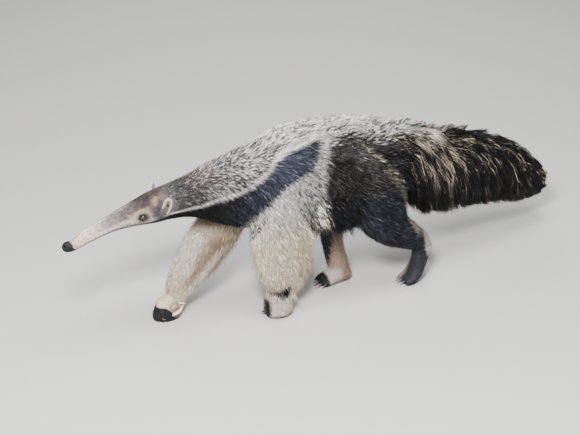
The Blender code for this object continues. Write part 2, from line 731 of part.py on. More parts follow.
def dress_head(head):
    """Sets lids round the eyes, opens sockets for eyes and ears, and cuts the nostrils and mouth."""
    lids = bpy.data.collections.new("lids")
    bpy.context.scene.collection.children.link(lids)
    for side in (-1, 1):
        for upper in (True, False):
            lid = lid_arc(side, upper)
            bpy.context.scene.collection.objects.unlink(lid)
            lids.objects.link(lid)
    boolean(head, lids, "UNION")
    for lid in list(lids.objects):
        remove(lid)
    bpy.data.collections.remove(lids)
    for side in (-1, 1):
        eye = ball("socket", (EYE[0], side * EYE[1], EYE[2]), (EYE_RADIUS + 2 * GAP,) * 3, None, 12, 6)
        boolean(head, eye, "DIFFERENCE")
        remove(eye)
        root = ear("socket", side, GAP)
        boolean(head, root, "DIFFERENCE")
        remove(root)
        turn = Matrix.Rotation(math.radians(side * 24), 3, "Z")
        centre = (NOSTRIL[0], side * NOSTRIL[1], NOSTRIL[2])
        nostril = ball("nostril", centre, NOSTRIL_HALF, turn, 8, 6)
        boolean(head, nostril, "DIFFERENCE")
        remove(nostril)
    nose = TRUNK[0][0]
    slit = box("slit", (nose - 0.02, -0.05, MOUTH_LEVEL - MOUTH_SLIT / 2),
               (nose + MOUTH_LENGTH, 0.05, MOUTH_LEVEL + MOUTH_SLIT / 2))
    boolean(head, slit, "DIFFERENCE")
    remove(slit)
    return keep_largest(head)


def claw_points(root, out, up, length, curl, steps):
    """Points of a claw that leaves root along out and curls towards up by curl degrees."""
    out, up = Vector(out).normalized(), Vector(up)
    up = (up - out * up.dot(out)).normalized()
    point = Vector(root)
    points = [point.copy()]
    for k in range(steps):
        angle = math.radians(curl) * (k + 0.5) / steps
        point = point + (out * math.cos(angle) + up * math.sin(angle)) * (length / steps)
        points.append(point.copy())
    return points


def claw(name, root, out, up, length, thick, curl, grow=0.0):
    steps = 4
    points = claw_points(root, out, up, length, curl, steps)
    radii = [thick * (1 - (k / steps) ** 1.6) + 0.0006 for k in range(steps + 1)]
    if grow:
        points[0] = points[0] + (points[0] - points[1]).normalized() * grow
        points[-1] = points[-1] + (points[-1] - points[-2]).normalized() * grow * 2
        radii = [radius + grow * 1.25 for radius in radii]
    return tube(name, points, radii, sides=5, finish="claw")


# Claws of each foot: name, root, way out, way it curls, length, thickness, curl in degrees
CLAWS = {
    "left_fore_foot": (
        ("claw_2", (-0.002, -0.050, 0.062), (0.80, 0.55, 0.15), (0.5, 0.1, -0.3), 0.036, 0.0058, 40),
        ("claw_3", (-0.026, -0.052, 0.024), (0.45, 0.88, -0.05), (0.9, 0.1, 0.5), 0.060, 0.0085, 85),
        ("claw_4", (-0.040, -0.074, 0.022), (-0.95, 0.30, -0.35), (-0.1, 0.7, -0.3), 0.026, 0.0048, 60),
    ),
    "right_fore_foot": (
        ("claw_2", (-0.311, 0.048, 0.060), (0.80, -0.58, 0.15), (0.5, 0.1, -0.4), 0.036, 0.0058, 40),
        ("claw_3", (-0.331, 0.043, 0.022), (0.80, -0.60, -0.05), (0.5, 0.5, 0.7), 0.064, 0.0090, 88),
        ("claw_4", (-0.365, 0.052, 0.014), (-0.20, -0.94, -0.12), (0.9, 0.1, 0.2), 0.024, 0.0044, 60),
    ),
}
HIND_CLAW_SPREAD = (-0.030, -0.016, -0.001, 0.014, 0.028)
HIND_CLAW_LENGTH = (0.026, 0.030, 0.032, 0.030, 0.025)
HIND_CLAW_THICK = 0.0040


def add_claws(foot, rows):
    """Claws in sockets of their foot."""
    for name, *shape in rows:
        socket = claw("socket", *shape, grow=GAP)
        boolean(foot, socket, "DIFFERENCE")
        remove(socket)
        claw(f"{foot.name}_{name}", *shape)
    return keep_largest(foot)


def hind_claws(toe):
    """The five claws of a hind foot, spread along its front."""
    rows = []
    for k, (spread, length) in enumerate(zip(HIND_CLAW_SPREAD, HIND_CLAW_LENGTH)):
        back = 0.002 + 0.30 * abs(spread + 0.001)
        root = (toe[0] + back, toe[1] + spread, toe[2] + 0.006)
        out = (-0.95, 0.6 * spread / 0.03 * 0.4, -0.05)
        rows.append((f"claw_{k + 1}", root, out, (0.0, 0.0, -1.0), length, HIND_CLAW_THICK, 32))
    return rows


def set_down(pieces):
    """Moves the finished model so that the middle of its base is at the origin."""
    low = Vector((FAR,) * 3)
    high = Vector((-FAR,) * 3)
    for piece in pieces:
        for vertex in piece.data.vertices:
            low = Vector(map(min, low, vertex.co))
            high = Vector(map(max, high, vertex.co))
    shift = Vector((-(low.x + high.x) / 2, -(low.y + high.y) / 2, -low.z))
    for piece in pieces:
        piece.data.transform(Matrix.Translation(shift))


def main():
    clear_scene()
    whole = body()
    fore = (-0.46, 0.135)
    hind = (0.19, 0.80)
    left_fore = part_off(whole, "left_fore_leg", "cream", FORE_LEG_CUT, -1, fore)
    right_fore = part_off(whole, "right_fore_leg", "tan", FORE_LEG_CUT, 1, fore)
    left_hind = part_off(whole, "left_hind_leg", "black", HIND_LEG_CUT, -1, hind)
    right_hind = part_off(whole, "right_hind_leg", "tan", HIND_LEG_CUT, 1, hind)
    tail()
    head = part_off(whole, "head", "tan", HEAD_CUT)
    part_off(whole, "neck", "grey", NECK_CUT)
    whole.name = "torso"
    feet = {
        "left_fore_foot": part_off(left_fore, "left_fore_foot", "cream", LEFT_WRIST_CUT),
        "right_fore_foot": part_off(right_fore, "right_fore_foot", "cream", RIGHT_WRIST_CUT),
        "left_hind_foot": part_off(left_hind, "left_hind_foot", "black", LEFT_HEEL_CUT),
        "right_hind_foot": part_off(right_hind, "right_hind_foot", "tan", RIGHT_HEEL_CUT),
    }
    dress_head(head)
    part_off(head, "snout", "tan", SNOUT_CUT)
    for side, word in ((-1, "left"), (1, "right")):
        ball(f"eye_{word}", (EYE[0], side * EYE[1], EYE[2]), (EYE_RADIUS,) * 3, None, 12, 6, "eye")
        ear(f"ear_{word}", side)
    claws = dict(CLAWS)
    claws["left_hind_foot"] = hind_claws(LEFT_HIND_FOOT[-1])
    claws["right_hind_foot"] = hind_claws(RIGHT_HIND_FOOT[-1])
    for name, rows in claws.items():
        add_claws(feet[name], rows)
    set_down([obj for obj in bpy.context.scene.objects if obj.type == "MESH"])


main()
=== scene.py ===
"""The dressed giant anteater: one skin, its coat in tufts, eyes, ears, claws, and a plain studio.

Shapes are worked out in the animal's own frame, in metres: the head points to -X, the left side
faces -Y, the floor is at z 0 and x 0 is over the planted left fore foot. Every finished mesh is
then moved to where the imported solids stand.
"""

import math

import bmesh
import bpy
import numpy as np
from mathutils import Matrix, Vector
from mathutils.kdtree import KDTree


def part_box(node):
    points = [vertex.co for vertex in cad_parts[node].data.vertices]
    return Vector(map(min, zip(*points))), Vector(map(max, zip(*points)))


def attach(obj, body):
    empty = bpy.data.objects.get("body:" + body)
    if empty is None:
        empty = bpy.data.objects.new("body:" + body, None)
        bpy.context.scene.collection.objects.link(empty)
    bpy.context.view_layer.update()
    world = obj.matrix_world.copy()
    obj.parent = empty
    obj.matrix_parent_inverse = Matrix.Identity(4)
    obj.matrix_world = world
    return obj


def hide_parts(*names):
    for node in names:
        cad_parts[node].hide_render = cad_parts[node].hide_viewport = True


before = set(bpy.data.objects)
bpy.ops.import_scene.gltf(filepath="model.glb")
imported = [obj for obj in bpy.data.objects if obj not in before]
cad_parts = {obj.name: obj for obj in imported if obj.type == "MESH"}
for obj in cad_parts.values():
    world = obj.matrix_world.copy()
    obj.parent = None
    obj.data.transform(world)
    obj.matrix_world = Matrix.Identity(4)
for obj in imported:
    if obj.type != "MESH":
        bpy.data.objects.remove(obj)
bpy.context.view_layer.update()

# The animal's own frame: one eye's centre is known in both
EYE = (-0.4535, 0.0380, 0.4430)
EYE_RADIUS = 0.0105
EYE_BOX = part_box("eye_left")
SHIFT = np.array((EYE_BOX[0] + EYE_BOX[1]) / 2) - np.array((EYE[0], -EYE[1], EYE[2]))

# The trunk out to its coat: x, top, bottom, half width, depth of the coat
TRUNK = (
    (-0.7155, 0.3810, 0.3680, 0.0075, 0.0004),   # nose tip
    (-0.7115, 0.3885, 0.3610, 0.0125, 0.0005),
    (-0.7010, 0.3935, 0.3560, 0.0165, 0.0007),
    (-0.6800, 0.3960, 0.3560, 0.0185, 0.0009),
    (-0.6500, 0.4140, 0.3640, 0.0193, 0.0010),
    (-0.6190, 0.4265, 0.3755, 0.0205, 0.0011),   # snout
    (-0.5490, 0.4560, 0.3945, 0.0275, 0.0014),
    (-0.4800, 0.4815, 0.4010, 0.0400, 0.0020),   # before the eyes
    (-0.4100, 0.5065, 0.3995, 0.0540, 0.0028),   # before the ears
    (-0.3400, 0.5225, 0.4010, 0.0640, 0.0055),   # occiput
    (-0.2700, 0.5425, 0.3880, 0.0740, 0.0090),
    (-0.1980, 0.5710, 0.3540, 0.0870, 0.0115),   # neck
    (-0.1270, 0.5900, 0.3220, 0.1030, 0.0135),
    (-0.0550, 0.6060, 0.3070, 0.1200, 0.0150),   # chest
    (0.0180, 0.6170, 0.3020, 0.1300, 0.0160),    # shoulders
    (0.0910, 0.6280, 0.2980, 0.1330, 0.0170),
    (0.1650, 0.6320, 0.2860, 0.1310, 0.0180),    # back
    (0.2400, 0.6260, 0.2820, 0.1270, 0.0190),
    (0.3100, 0.6140, 0.2920, 0.1260, 0.0190),    # loin
    (0.3800, 0.5950, 0.3200, 0.1190, 0.0190),
    (0.4400, 0.5740, 0.3620, 0.0980, 0.0190),    # rump
    (0.5050, 0.5620, 0.4000, 0.0860, 0.0200),
)
TRUNK_WIDEST = 0.45     # where the trunk is widest, as a share of its height

# The tail out to its hair tips: x, y, top, bottom, half width
TAIL = (
    (0.4500, 0.000, 0.5740, 0.3900, 0.080),
    (0.5400, 0.010, 0.5820, 0.2600, 0.098),
    (0.6200, 0.025, 0.5610, 0.1950, 0.110),
    (0.7000, 0.040, 0.5330, 0.1720, 0.116),
    (0.8000, 0.060, 0.5050, 0.1640, 0.116),
    (0.9000, 0.085, 0.4650, 0.1500, 0.110),
    (1.0000, 0.105, 0.4180, 0.1260, 0.100),
    (1.1000, 0.125, 0.3450, 0.1100, 0.082),
    (1.1800, 0.140, 0.2650, 0.1120, 0.056),
    (1.2250, 0.148, 0.1950, 0.1320, 0.022),
)
TAIL_WIDEST = 0.60      # as for the trunk
TAIL_SKIN = 0.34        # the bare tail, as a share of the way to the hair tips
TAIL_DOCK = 0.74        # the same share where it leaves the rump
TAIL_DOCK_RUN = 0.22    # place along the tail where it has its thin size
TAIL_SKIN_END = 0.93
TAIL_RINGS = 30

# Limbs: x, y, z, half length along the step, half width, depth of the coat
LEFT_FORE = (
    (0.012, -0.070, 0.410, 0.110, 0.058, 0.014),
    (0.012, -0.080, 0.310, 0.115, 0.062, 0.014),   # elbow
    (0.012, -0.084, 0.225, 0.102, 0.063, 0.013),
    (0.014, -0.083, 0.165, 0.090, 0.058, 0.012),   # forearm
    (0.014, -0.080, 0.127, 0.073, 0.051, 0.009),
    (0.012, -0.077, 0.098, 0.053, 0.042, 0.006),   # wrist
    (0.010, -0.075, 0.060, 0.050, 0.044, 0.005),
    (0.008, -0.074, 0.020, 0.050, 0.043, 0.003),   # sole
    (0.008, -0.074, -0.012, 0.039, 0.034, 0.002),
)
RIGHT_FORE = (
    (-0.028, 0.070, 0.420, 0.088, 0.058, 0.012),
    (-0.104, 0.076, 0.340, 0.082, 0.061, 0.012),
    (-0.160, 0.079, 0.272, 0.087, 0.061, 0.012),   # elbow
    (-0.212, 0.080, 0.202, 0.081, 0.057, 0.010),   # forearm
    (-0.260, 0.078, 0.142, 0.067, 0.049, 0.008),
    (-0.290, 0.076, 0.100, 0.049, 0.042, 0.006),
    (-0.304, 0.075, 0.070, 0.038, 0.038, 0.005),   # wrist
    (-0.327, 0.075, 0.036, 0.049, 0.042, 0.003),
    (-0.342, 0.075, 0.006, 0.048, 0.040, 0.002),   # sole
    (-0.344, 0.075, -0.014, 0.036, 0.032, 0.002),
)
LEFT_HIND = (
    (0.360, -0.066, 0.450, 0.110, 0.056, 0.013),
    (0.374, -0.086, 0.365, 0.114, 0.068, 0.012),   # thigh
    (0.400, -0.092, 0.290, 0.098, 0.066, 0.011),
    (0.441, -0.090, 0.234, 0.074, 0.056, 0.009),   # knee
    (0.497, -0.087, 0.196, 0.056, 0.046, 0.007),   # shank
    (0.543, -0.084, 0.166, 0.043, 0.038, 0.005),
    (0.568, -0.082, 0.148, 0.033, 0.030, 0.004),   # heel
)
LEFT_HIND_FOOT = (
    (0.566, -0.082, 0.158, 0.032, 0.030, 0.004),   # heel
    (0.563, -0.080, 0.124, 0.034, 0.035, 0.003),
    (0.555, -0.077, 0.082, 0.030, 0.036, 0.003),
    (0.542, -0.073, 0.044, 0.027, 0.040, 0.002),
    (0.521, -0.070, 0.019, 0.021, 0.043, 0.002),
    (0.497, -0.068, 0.010, 0.014, 0.039, 0.001),   # toes
)
RIGHT_HIND = (
    (0.380, 0.066, 0.440, 0.108, 0.056, 0.013),
    (0.345, 0.080, 0.340, 0.098, 0.062, 0.012),    # thigh
    (0.305, 0.076, 0.255, 0.069, 0.052, 0.009),    # knee
    (0.286, 0.066, 0.185, 0.047, 0.041, 0.006),    # shank
    (0.291, 0.058, 0.125, 0.041, 0.036, 0.005),
    (0.304, 0.052, 0.070, 0.041, 0.035, 0.004),    # ankle
    (0.311, 0.050, 0.024, 0.037, 0.033, 0.003),
)
RIGHT_HIND_FOOT = (
    (0.350, 0.050, 0.026, 0.020, 0.022, 0.003),    # heel
    (0.330, 0.050, 0.027, 0.029, 0.032, 0.003),
    (0.292, 0.050, 0.028, 0.030, 0.037, 0.003),
    (0.262, 0.049, 0.021, 0.024, 0.041, 0.002),
    (0.242, 0.047, 0.014, 0.017, 0.041, 0.002),
    (0.229, 0.046, 0.010, 0.012, 0.034, 0.001),    # toes
)
LIMBS = (LEFT_FORE, RIGHT_FORE, LEFT_HIND, RIGHT_HIND, LEFT_HIND_FOOT, RIGHT_HIND_FOOT)
SECTION_SIDES = 28
SECTION_ANGLES = 2 * math.pi * np.arange(SECTION_SIDES) / SECTION_SIDES

# The skin is fused from the sections, smoothed less on head and feet, and made finer over small forms
SKIN_VOXEL = 0.0055
SKIN_SOFT_STEPS = 19
LEAST_SOFT = 0.12       # share of the smoothing that reaches the head and the feet
HEAD_SOFT = -0.42       # x from which the smoothing grows towards the trunk
HEAD_SOFT_RUN = 0.20
FOOT_SOFT = 0.07        # height from which it grows up the legs
FOOT_SOFT_RUN = 0.12
HEAD_END = -0.335       # x behind which the coat's pieces count as the trunk's
FACE_END = -0.40        # x in front of which the skin is finer, over the height of the face
FACE_FLOOR = 0.30
NOSE_END = -0.672       # x in front of which it is finer again
FORE_TOES = ((-0.80, -0.28), (-0.07, -0.02))    # ranges of x
FORE_TOES_TOP = 0.08
HIND_TOES = ((0.20, 0.25), (0.49, 0.53))
HIND_TOES_TOP = 0.04
CLAW_BED = (-0.29, 0.060, 0.072)                # the most that x, y and z are where the big claw grows
FINE_ROUND_EYE = 0.020

# Markings seen from the side, and the edges of painted highlight and shade on the snout, as heights along x
STRIPE_TOP = (
    (-0.45, 0.424), (-0.398, 0.430), (-0.367, 0.439), (-0.318, 0.442), (-0.259, 0.445), (-0.208, 0.456),
    (-0.156, 0.464), (-0.104, 0.482), (-0.048, 0.512), (0.009, 0.559), (0.058, 0.579), (0.109, 0.591),
    (0.151, 0.598), (0.180, 0.602),
)
STRIPE_FOOT = (
    (-0.118, 0.20), (-0.098, 0.352), (-0.074, 0.384), (-0.026, 0.434), (0.008, 0.461), (0.044, 0.486),
    (0.082, 0.499), (0.120, 0.511), (0.142, 0.532), (0.171, 0.575), (0.180, 0.602),
)
CREST_FOOT = ((-0.2, 0.56), (0.0, 0.590), (0.15, 0.606), (0.30, 0.596))
FLANK_TOP = ((0.20, 0.578), (0.27, 0.594), (0.33, 0.584), (0.40, 0.548), (0.47, 0.52))
FACE_BAND_FOOT = ((-0.62, 0.403), (-0.57, 0.419), (-0.543, 0.429), (-0.499, 0.445), (-0.463, 0.464))
# lower edge of the painted highlight along the top of the snout
SNOUT_HIGHLIGHT_FOOT = ((-0.70, 0.394), (-0.65, 0.4125), (-0.619, 0.4247), (-0.549, 0.4553), (-0.48, 0.4800))
TAIL_RIDGE = ((0.45, 0.50), (0.62, 0.47), (0.80, 0.42), (1.0, 0.34), (1.2, 0.20))
# top edge of the painted shade under the snout
CHIN_SHADE_TOP = ((-0.70, 0.376), (-0.62, 0.3925), (-0.55, 0.415), (-0.48, 0.429))
JAW_TOP = ((-0.62, 0.376), (-0.50, 0.405), (-0.44, 0.418), (-0.40, 0.427), (-0.36, 0.437))
WRIST_BAND_FOOT = (
    (-0.04, 0.096), (-0.018, 0.089), (0.002, 0.077), (0.025, 0.074), (0.045, 0.084), (0.06, 0.092),
)
WRIST_BAND_TOP = (
    (-0.04, 0.099), (-0.018, 0.098), (0.002, 0.101), (0.018, 0.108), (0.030, 0.118), (0.06, 0.118),
)

# Width of the white line over the stripe, along x
WHITE_BAND = (
    (-0.45, 0.001), (-0.36, 0.003), (-0.20, 0.009), (-0.05, 0.012), (0.02, 0.013), (0.12, 0.014),
    (0.17, 0.012), (0.20, 0.0),
)

# Edges and lines that run upwards, as x at heights
FLANK_EDGE = (
    (0.20, 0.176), (0.326, 0.179), (0.389, 0.174), (0.446, 0.176), (0.496, 0.185), (0.540, 0.200),
    (0.583, 0.216), (0.600, 0.250),
)
CALLUS_EDGE = ((0.0, -0.302), (0.012, -0.322), (0.036, -0.333), (0.052, -0.352))
RUMP_BAND = (
    (0.256, 0.505), (0.371, 0.459), (0.433, 0.436), (0.488, 0.406), (0.534, 0.359), (0.580, 0.310),
    (0.618, 0.266),
)
RIGHT_FORE_LINE = ((0.07, -0.310), (0.14, -0.266), (0.20, -0.214), (0.27, -0.140), (0.34, -0.075))
THIGH_REAR = ((0.18, 0.547), (0.22, 0.530), (0.273, 0.500), (0.373, 0.474), (0.471, 0.447))
HEEL_REAR = ((0.04, 0.578), (0.10, 0.566), (0.15, 0.556), (0.20, 0.550), (0.23, 0.552))
SHIN_FRONT = ((0.03, 0.25), (0.07, 0.262), (0.125, 0.268), (0.185, 0.268), (0.255, 0.275), (0.34, 0.31))

# Colours, in linear red, green and blue
WHITE = (0.80, 0.78, 0.74)
CREAM = (0.66, 0.55, 0.38)
GREY = (0.30, 0.28, 0.27)
SMOKE = (0.115, 0.108, 0.108)
INK = (0.005, 0.0055, 0.0075)
SOOT = (0.0165, 0.0152, 0.0148)
TAN = (0.46, 0.31, 0.22)
PINK = (0.56, 0.40, 0.32)
BROWN = (0.20, 0.135, 0.10)
STRAW = (0.42, 0.33, 0.22)
# Black hair with a painted bluish sheen, for the hind legs
BLACK_WITH_SHEEN = (0.034, 0.038, 0.048)
# A painted sheen: the sky's bluish reflection, laid into the colour of black hair
PAINTED_SKY_SHEEN = (0.084, 0.100, 0.142)
CROWN_DARK = (0.024, 0.018, 0.019)
WET_DARK = (0.010, 0.007, 0.006)
NOSE_BLACK = (0.004, 0.004, 0.005)
IRIS_BROWN = (0.028, 0.016, 0.011)
PUPIL_BLACK = (0.003, 0.003, 0.003)
EYE_EDGE = (0.020, 0.016, 0.015)
LID_INNER = (0.060, 0.040, 0.030)
LID_OUTER = (0.150, 0.100, 0.075)
# Painted shade in the grooves of the lids
LID_GROOVE_SHADE = (0.008, 0.006, 0.005)
LASH_BLACK = (0.012, 0.009, 0.008)
EAR_FLESH = (0.26, 0.13, 0.095)
# Painted shade deep in the ear's hollow
EAR_HOLLOW_SHADE = (0.016, 0.007, 0.006)


def smooth_rows(rows, steps):
    """Rows of numbers with steps - 1 further rows on a smooth curve between each two."""
    rows = np.array(rows, float)
    padded = np.vstack([2 * rows[0] - rows[1], rows, 2 * rows[-1] - rows[-2]])
    made = []
    for i in range(1, len(padded) - 2):
        before, start, end, after = padded[i - 1:i + 3]
        for k in range(steps):
            t = k / steps
            made.append(0.5 * (
                2 * start + (end - before) * t
                + (2 * before - 5 * start + 4 * end - after) * t * t
                + (3 * start - before - 3 * end + after) * t * t * t
            ))
    return np.array([*made, rows[-1]])


def unit(vectors):
    """Vectors brought to a length of 1."""
    return vectors / np.maximum(np.linalg.norm(vectors, axis=-1, keepdims=True), 1e-9)


def ramp(value, low, high):
    """A smooth step from 0 at low to 1 at high."""
    t = np.clip((value - low) / (high - low), 0.0, 1.0)
    return t * t * (3 - 2 * t)


def along(table, value):
    """A value read from a table of pairs."""
    table = np.array(table)
    return np.interp(value, table[:, 0], table[:, 1])


def mix(first, second, share):
    """Two colours blended: the first at share 0, the second at share 1."""
    share = np.asarray(share)[..., None]
    return np.asarray(first) * (1 - share) + np.asarray(second) * share


def bell(value, half):
    """1 where value is 0, falling smoothly to about a third where it reaches half."""
    return np.exp(-(value / half) ** 2)


def distance(points, place, stretch=(1.0, 1.0, 1.0)):
    """The distance from each point to a place, with each direction stretched."""
    return np.linalg.norm((points - place) * stretch, axis=1)


def on_side(place, side):
    """A place of the right side, kept for side 1 and mirrored to the left for side -1."""
    return np.array(place) * (1, side, 1)


def side_word(side):
    return "left" if side < 0 else "right"


def ripple(points, size, seed):
    """A smooth random value from -1 to 1 that varies over about size metres."""
    chance = np.random.default_rng(seed)
    total = np.zeros(len(points))
    for _ in range(5):
        way = unit(chance.normal(size=3)) * (2 * math.pi / size) * chance.uniform(0.6, 1.5)
        total += np.sin(points @ way + chance.uniform(0, 2 * math.pi))
    return total / 3.2


# Body sections

def section_ring(x, y, top, bottom, half_width, widest):
    """Points round an upright section that is widest at a share of its height."""
    level = bottom + widest * (top - bottom)
    up = np.cos(SECTION_ANGLES)
    height = np.where(up > 0, top - level, level - bottom)
    across = y + half_width * np.sin(SECTION_ANGLES)
    return np.stack([np.full(SECTION_SIDES, x), across, level + height * up], 1)


def faces_between(rings, round_again=False):
    """Faces that join each ring of points to the next, and with round_again the last to the first."""
    count, sides = len(rings), len(rings[0])
    faces = []
    for r in range(count if round_again else count - 1):
        low, high = r * sides, (r + 1) % count * sides
        for k in range(sides):
            j = (k + 1) % sides
            faces.append((low + k, low + j, high + j, high + k))
    return faces


def mesh_of(name, rings, faces):
    """A mesh of the rings' points, with its faces turned outwards."""
    mesh = bpy.data.meshes.new(name)
    mesh.from_pydata([tuple(p) for ring in rings for p in ring], [], faces)
    built = bmesh.new()
    built.from_mesh(mesh)
    bmesh.ops.recalc_face_normals(built, faces=built.faces)
    built.to_mesh(mesh)
    built.free()
    return mesh


def rings_to_mesh(name, rings):
    """A closed mesh through rings of points, with both ends capped."""
    sides = len(rings[0])
    faces = faces_between(rings)
    faces.append(tuple(reversed(range(sides))))
    faces.append(tuple(range((len(rings) - 1) * sides, len(rings) * sides)))
    return mesh_of(name, rings, faces)


def trunk_mesh():
    """The skin of head, neck and trunk, under the depth of the coat."""
    rings = []
    for x, top, bottom, wide, coat in smooth_rows(TRUNK, 3):
        rings.append(section_ring(x, 0.0, top - coat, bottom + coat, wide - coat, TRUNK_WIDEST))
    return rings_to_mesh("trunk", rings)


def tail_share(place):
    """How far out the bare tail reaches at a place along it."""
    thin = np.clip(np.asarray(place) / TAIL_DOCK_RUN, 0.0, 1.0)
    return TAIL_DOCK + (TAIL_SKIN - TAIL_DOCK) * thin


def tail_points(rows, place, angle, share):
    """Points of the tail: places from 0 to 1, angles from the top, and shares of the way out."""
    at = np.clip(place, 0.0, 1.0) * (len(rows) - 1)
    row = np.stack([np.interp(at, np.arange(len(rows)), rows[:, k]) for k in range(5)], -1)
    x, y, top, bottom, wide = np.moveaxis(row, -1, 0)
    level = bottom + TAIL_WIDEST * (top - bottom)
    up = np.cos(angle)
    height = np.where(up > 0, top - level, level - bottom)
    return np.stack([x, y + share * wide * np.sin(angle), level + share * height * up], -1)


def tail_mesh():
    """The bare tail under the hair."""
    rows = smooth_rows(TAIL, 4)
    rings = [tail_points(rows, np.full(SECTION_SIDES, place), SECTION_ANGLES, tail_share(place))
             for place in np.linspace(0.0, TAIL_SKIN_END, TAIL_RINGS)]
    return rings_to_mesh("tail", rings)


def limb_mesh(rows):
    """One limb's skin, in sections square to the way that the limb runs."""
    rows = smooth_rows(rows, 3)
    run = np.gradient(rows[:, :3], axis=0)
    round_forward, round_across = np.cos(SECTION_ANGLES), np.sin(SECTION_ANGLES)
    rings = []
    for (x, y, z, fore, wide, coat), way in zip(rows, run):
        way = unit(way)
        across = unit(np.array((0.0, 1.0, 0.0)) - way * way[1])
        forward = np.cross(way, across)
        rings.append(np.array((x, y, z)) + np.outer(round_forward * (fore - coat), forward)
                     + np.outer(round_across * (wide - coat), across))
    return rings_to_mesh("limb", rings)


def new_object(name, mesh):
    obj = bpy.data.objects.new(name, mesh)
    bpy.context.scene.collection.objects.link(obj)
    return obj


def apply_modifiers(obj):
    """Makes what the modifiers give the object's own mesh, and removes them."""
    graph = bpy.context.evaluated_depsgraph_get()
    mesh = bpy.data.meshes.new_from_object(obj.evaluated_get(graph))
    obj.modifiers.clear()
    obj.data = mesh


def joined(name, meshes):
    """One object of several meshes, which are used up."""
    built = bmesh.new()
    for mesh in meshes:
        built.from_mesh(mesh)
        bpy.data.meshes.remove(mesh)
    mesh = bpy.data.meshes.new(name)
    built.to_mesh(mesh)
    built.free()
    return new_object(name, mesh)


def vertices_of(mesh):
    points = np.empty(len(mesh.vertices) * 3)
    mesh.vertices.foreach_get("co", points)
    return points.reshape(-1, 3)


def normals_of(mesh):
    normals = np.empty(len(mesh.vertices) * 3)
    mesh.vertices.foreach_get("normal", normals)
    return normals.reshape(-1, 3)


def set_vertices(mesh, points):
    mesh.vertices.foreach_set("co", np.ascontiguousarray(points, np.float32).reshape(-1))
    mesh.update()


def finer(mesh, choose):
    """Splits the faces whose middles choose picks."""
    built = bmesh.new()
    built.from_mesh(mesh)
    edges = {edge for face in built.faces if choose(face.calc_center_median()) for edge in face.edges}
    bmesh.ops.subdivide_edges(built, edges=list(edges), cuts=1, use_grid_fill=True, smooth=0.0)
    built.to_mesh(mesh)
    built.free()


def near_eye(middle):
    eye = Vector((EYE[0], math.copysign(EYE[1], middle.y), EYE[2]))
    return (middle - eye).length < FINE_ROUND_EYE


def on_nose(middle):
    return middle.z > FACE_FLOOR and middle.x < NOSE_END


def on_claw_bed(middle):
    return middle.x < CLAW_BED[0] and middle.y < CLAW_BED[1] and middle.z < CLAW_BED[2]


def within(value, ranges):
    return any(low < value < high for low, high in ranges)


def skin_mesh():
    """One closed skin from the nose to the end of the tail, finer over the face and the toes."""
    made = joined("skin", [trunk_mesh(), tail_mesh(), *(limb_mesh(rows) for rows in LIMBS)])
    fuse = made.modifiers.new("Fuse", "REMESH")
    fuse.mode = "VOXEL"
    fuse.voxel_size = SKIN_VOXEL
    apply_modifiers(made)
    points = vertices_of(made.data)
    head = np.clip((points[:, 0] - HEAD_SOFT) / HEAD_SOFT_RUN, 0, 1)
    foot = np.clip((points[:, 2] - FOOT_SOFT) / FOOT_SOFT_RUN, 0, 1)
    weights = LEAST_SOFT + (1 - LEAST_SOFT) * np.minimum(head, foot)
    group = made.vertex_groups.new(name="soft")
    for index, weight in enumerate(weights):
        group.add([index], float(weight), "REPLACE")
    soften = made.modifiers.new("Soften", "SMOOTH")
    soften.factor = 0.5
    soften.iterations = SKIN_SOFT_STEPS
    soften.vertex_group = "soft"
    apply_modifiers(made)
    made.vertex_groups.clear()
    mesh = made.data
    finer(mesh, lambda middle: middle.x < FACE_END and middle.z > FACE_FLOOR)
    finer(mesh, lambda middle: middle.z < FORE_TOES_TOP and within(middle.x, FORE_TOES))
    finer(mesh, lambda middle: middle.z < HIND_TOES_TOP and within(middle.x, HIND_TOES))
    finer(mesh, lambda middle: on_nose(middle) or near_eye(middle) or on_claw_bed(middle))
    shape_face(mesh)
    points = vertices_of(mesh)
    points[:, 2] = np.maximum(points[:, 2], 0.0)
    set_vertices(mesh, points)
    mesh.polygons.foreach_set("use_smooth", [True] * len(mesh.polygons))
    return made


# Small forms pressed into the skin, in metres

MOUTH_Z = 0.3675
MOUTH_HALF = 0.0013
MOUTH_DEPTH = 0.0026
MOUTH_END = (-0.692, -0.674)        # x over which the mouth's line fades out
NOSTRIL = (-0.7115, 0.0110, 0.3800)
NOSTRIL_SIZE = (0.0062, 0.0044)
NOSTRIL_DEPTH = 0.0055
NOSE_PUCKER = 0.00025
SOCKET_REACH = 0.0085
SOCKET_DEPTH = 0.0035
MOUND_REACH = 0.0135                # the raised ring round a socket
MOUND_HEIGHT = 0.0018
MOUND_HALF = 0.005
BROW = (0.004, 0.0, 0.0135)         # from the middle of the eye
BROW_REACH = 0.009
BROW_HEIGHT = 0.0022
CHEEK = (-0.415, 0.046, 0.432)
CHEEK_REACH = 0.016
CHEEK_HEIGHT = 0.0028
FOOT_FOLDS = (                      # x and z of the middle, radius
    ((-0.322, 0.050), 0.0135),
    ((-0.316, 0.030), 0.0125),
    ((-0.305, 0.018), 0.0100),
)
FOLD_DEPTH = 0.0020
FOLD_HALF = 0.0022
FOLD_SWELL = 0.0016
RIGHT_FORE_GROOVES = (-0.372, -0.360)               # x between the toes
LEFT_FORE_GROOVES = (-0.062, -0.084)                # y between the toes
FORE_GROOVE_DEPTH = 0.0024
HIND_TOES_MIDDLES = ((0.243, 0.046), (0.509, -0.068))
HIND_GROOVES = (-0.022, -0.008, 0.007, 0.021)       # y from the middle of the toes
HIND_GROOVE_DEPTH = 0.0026


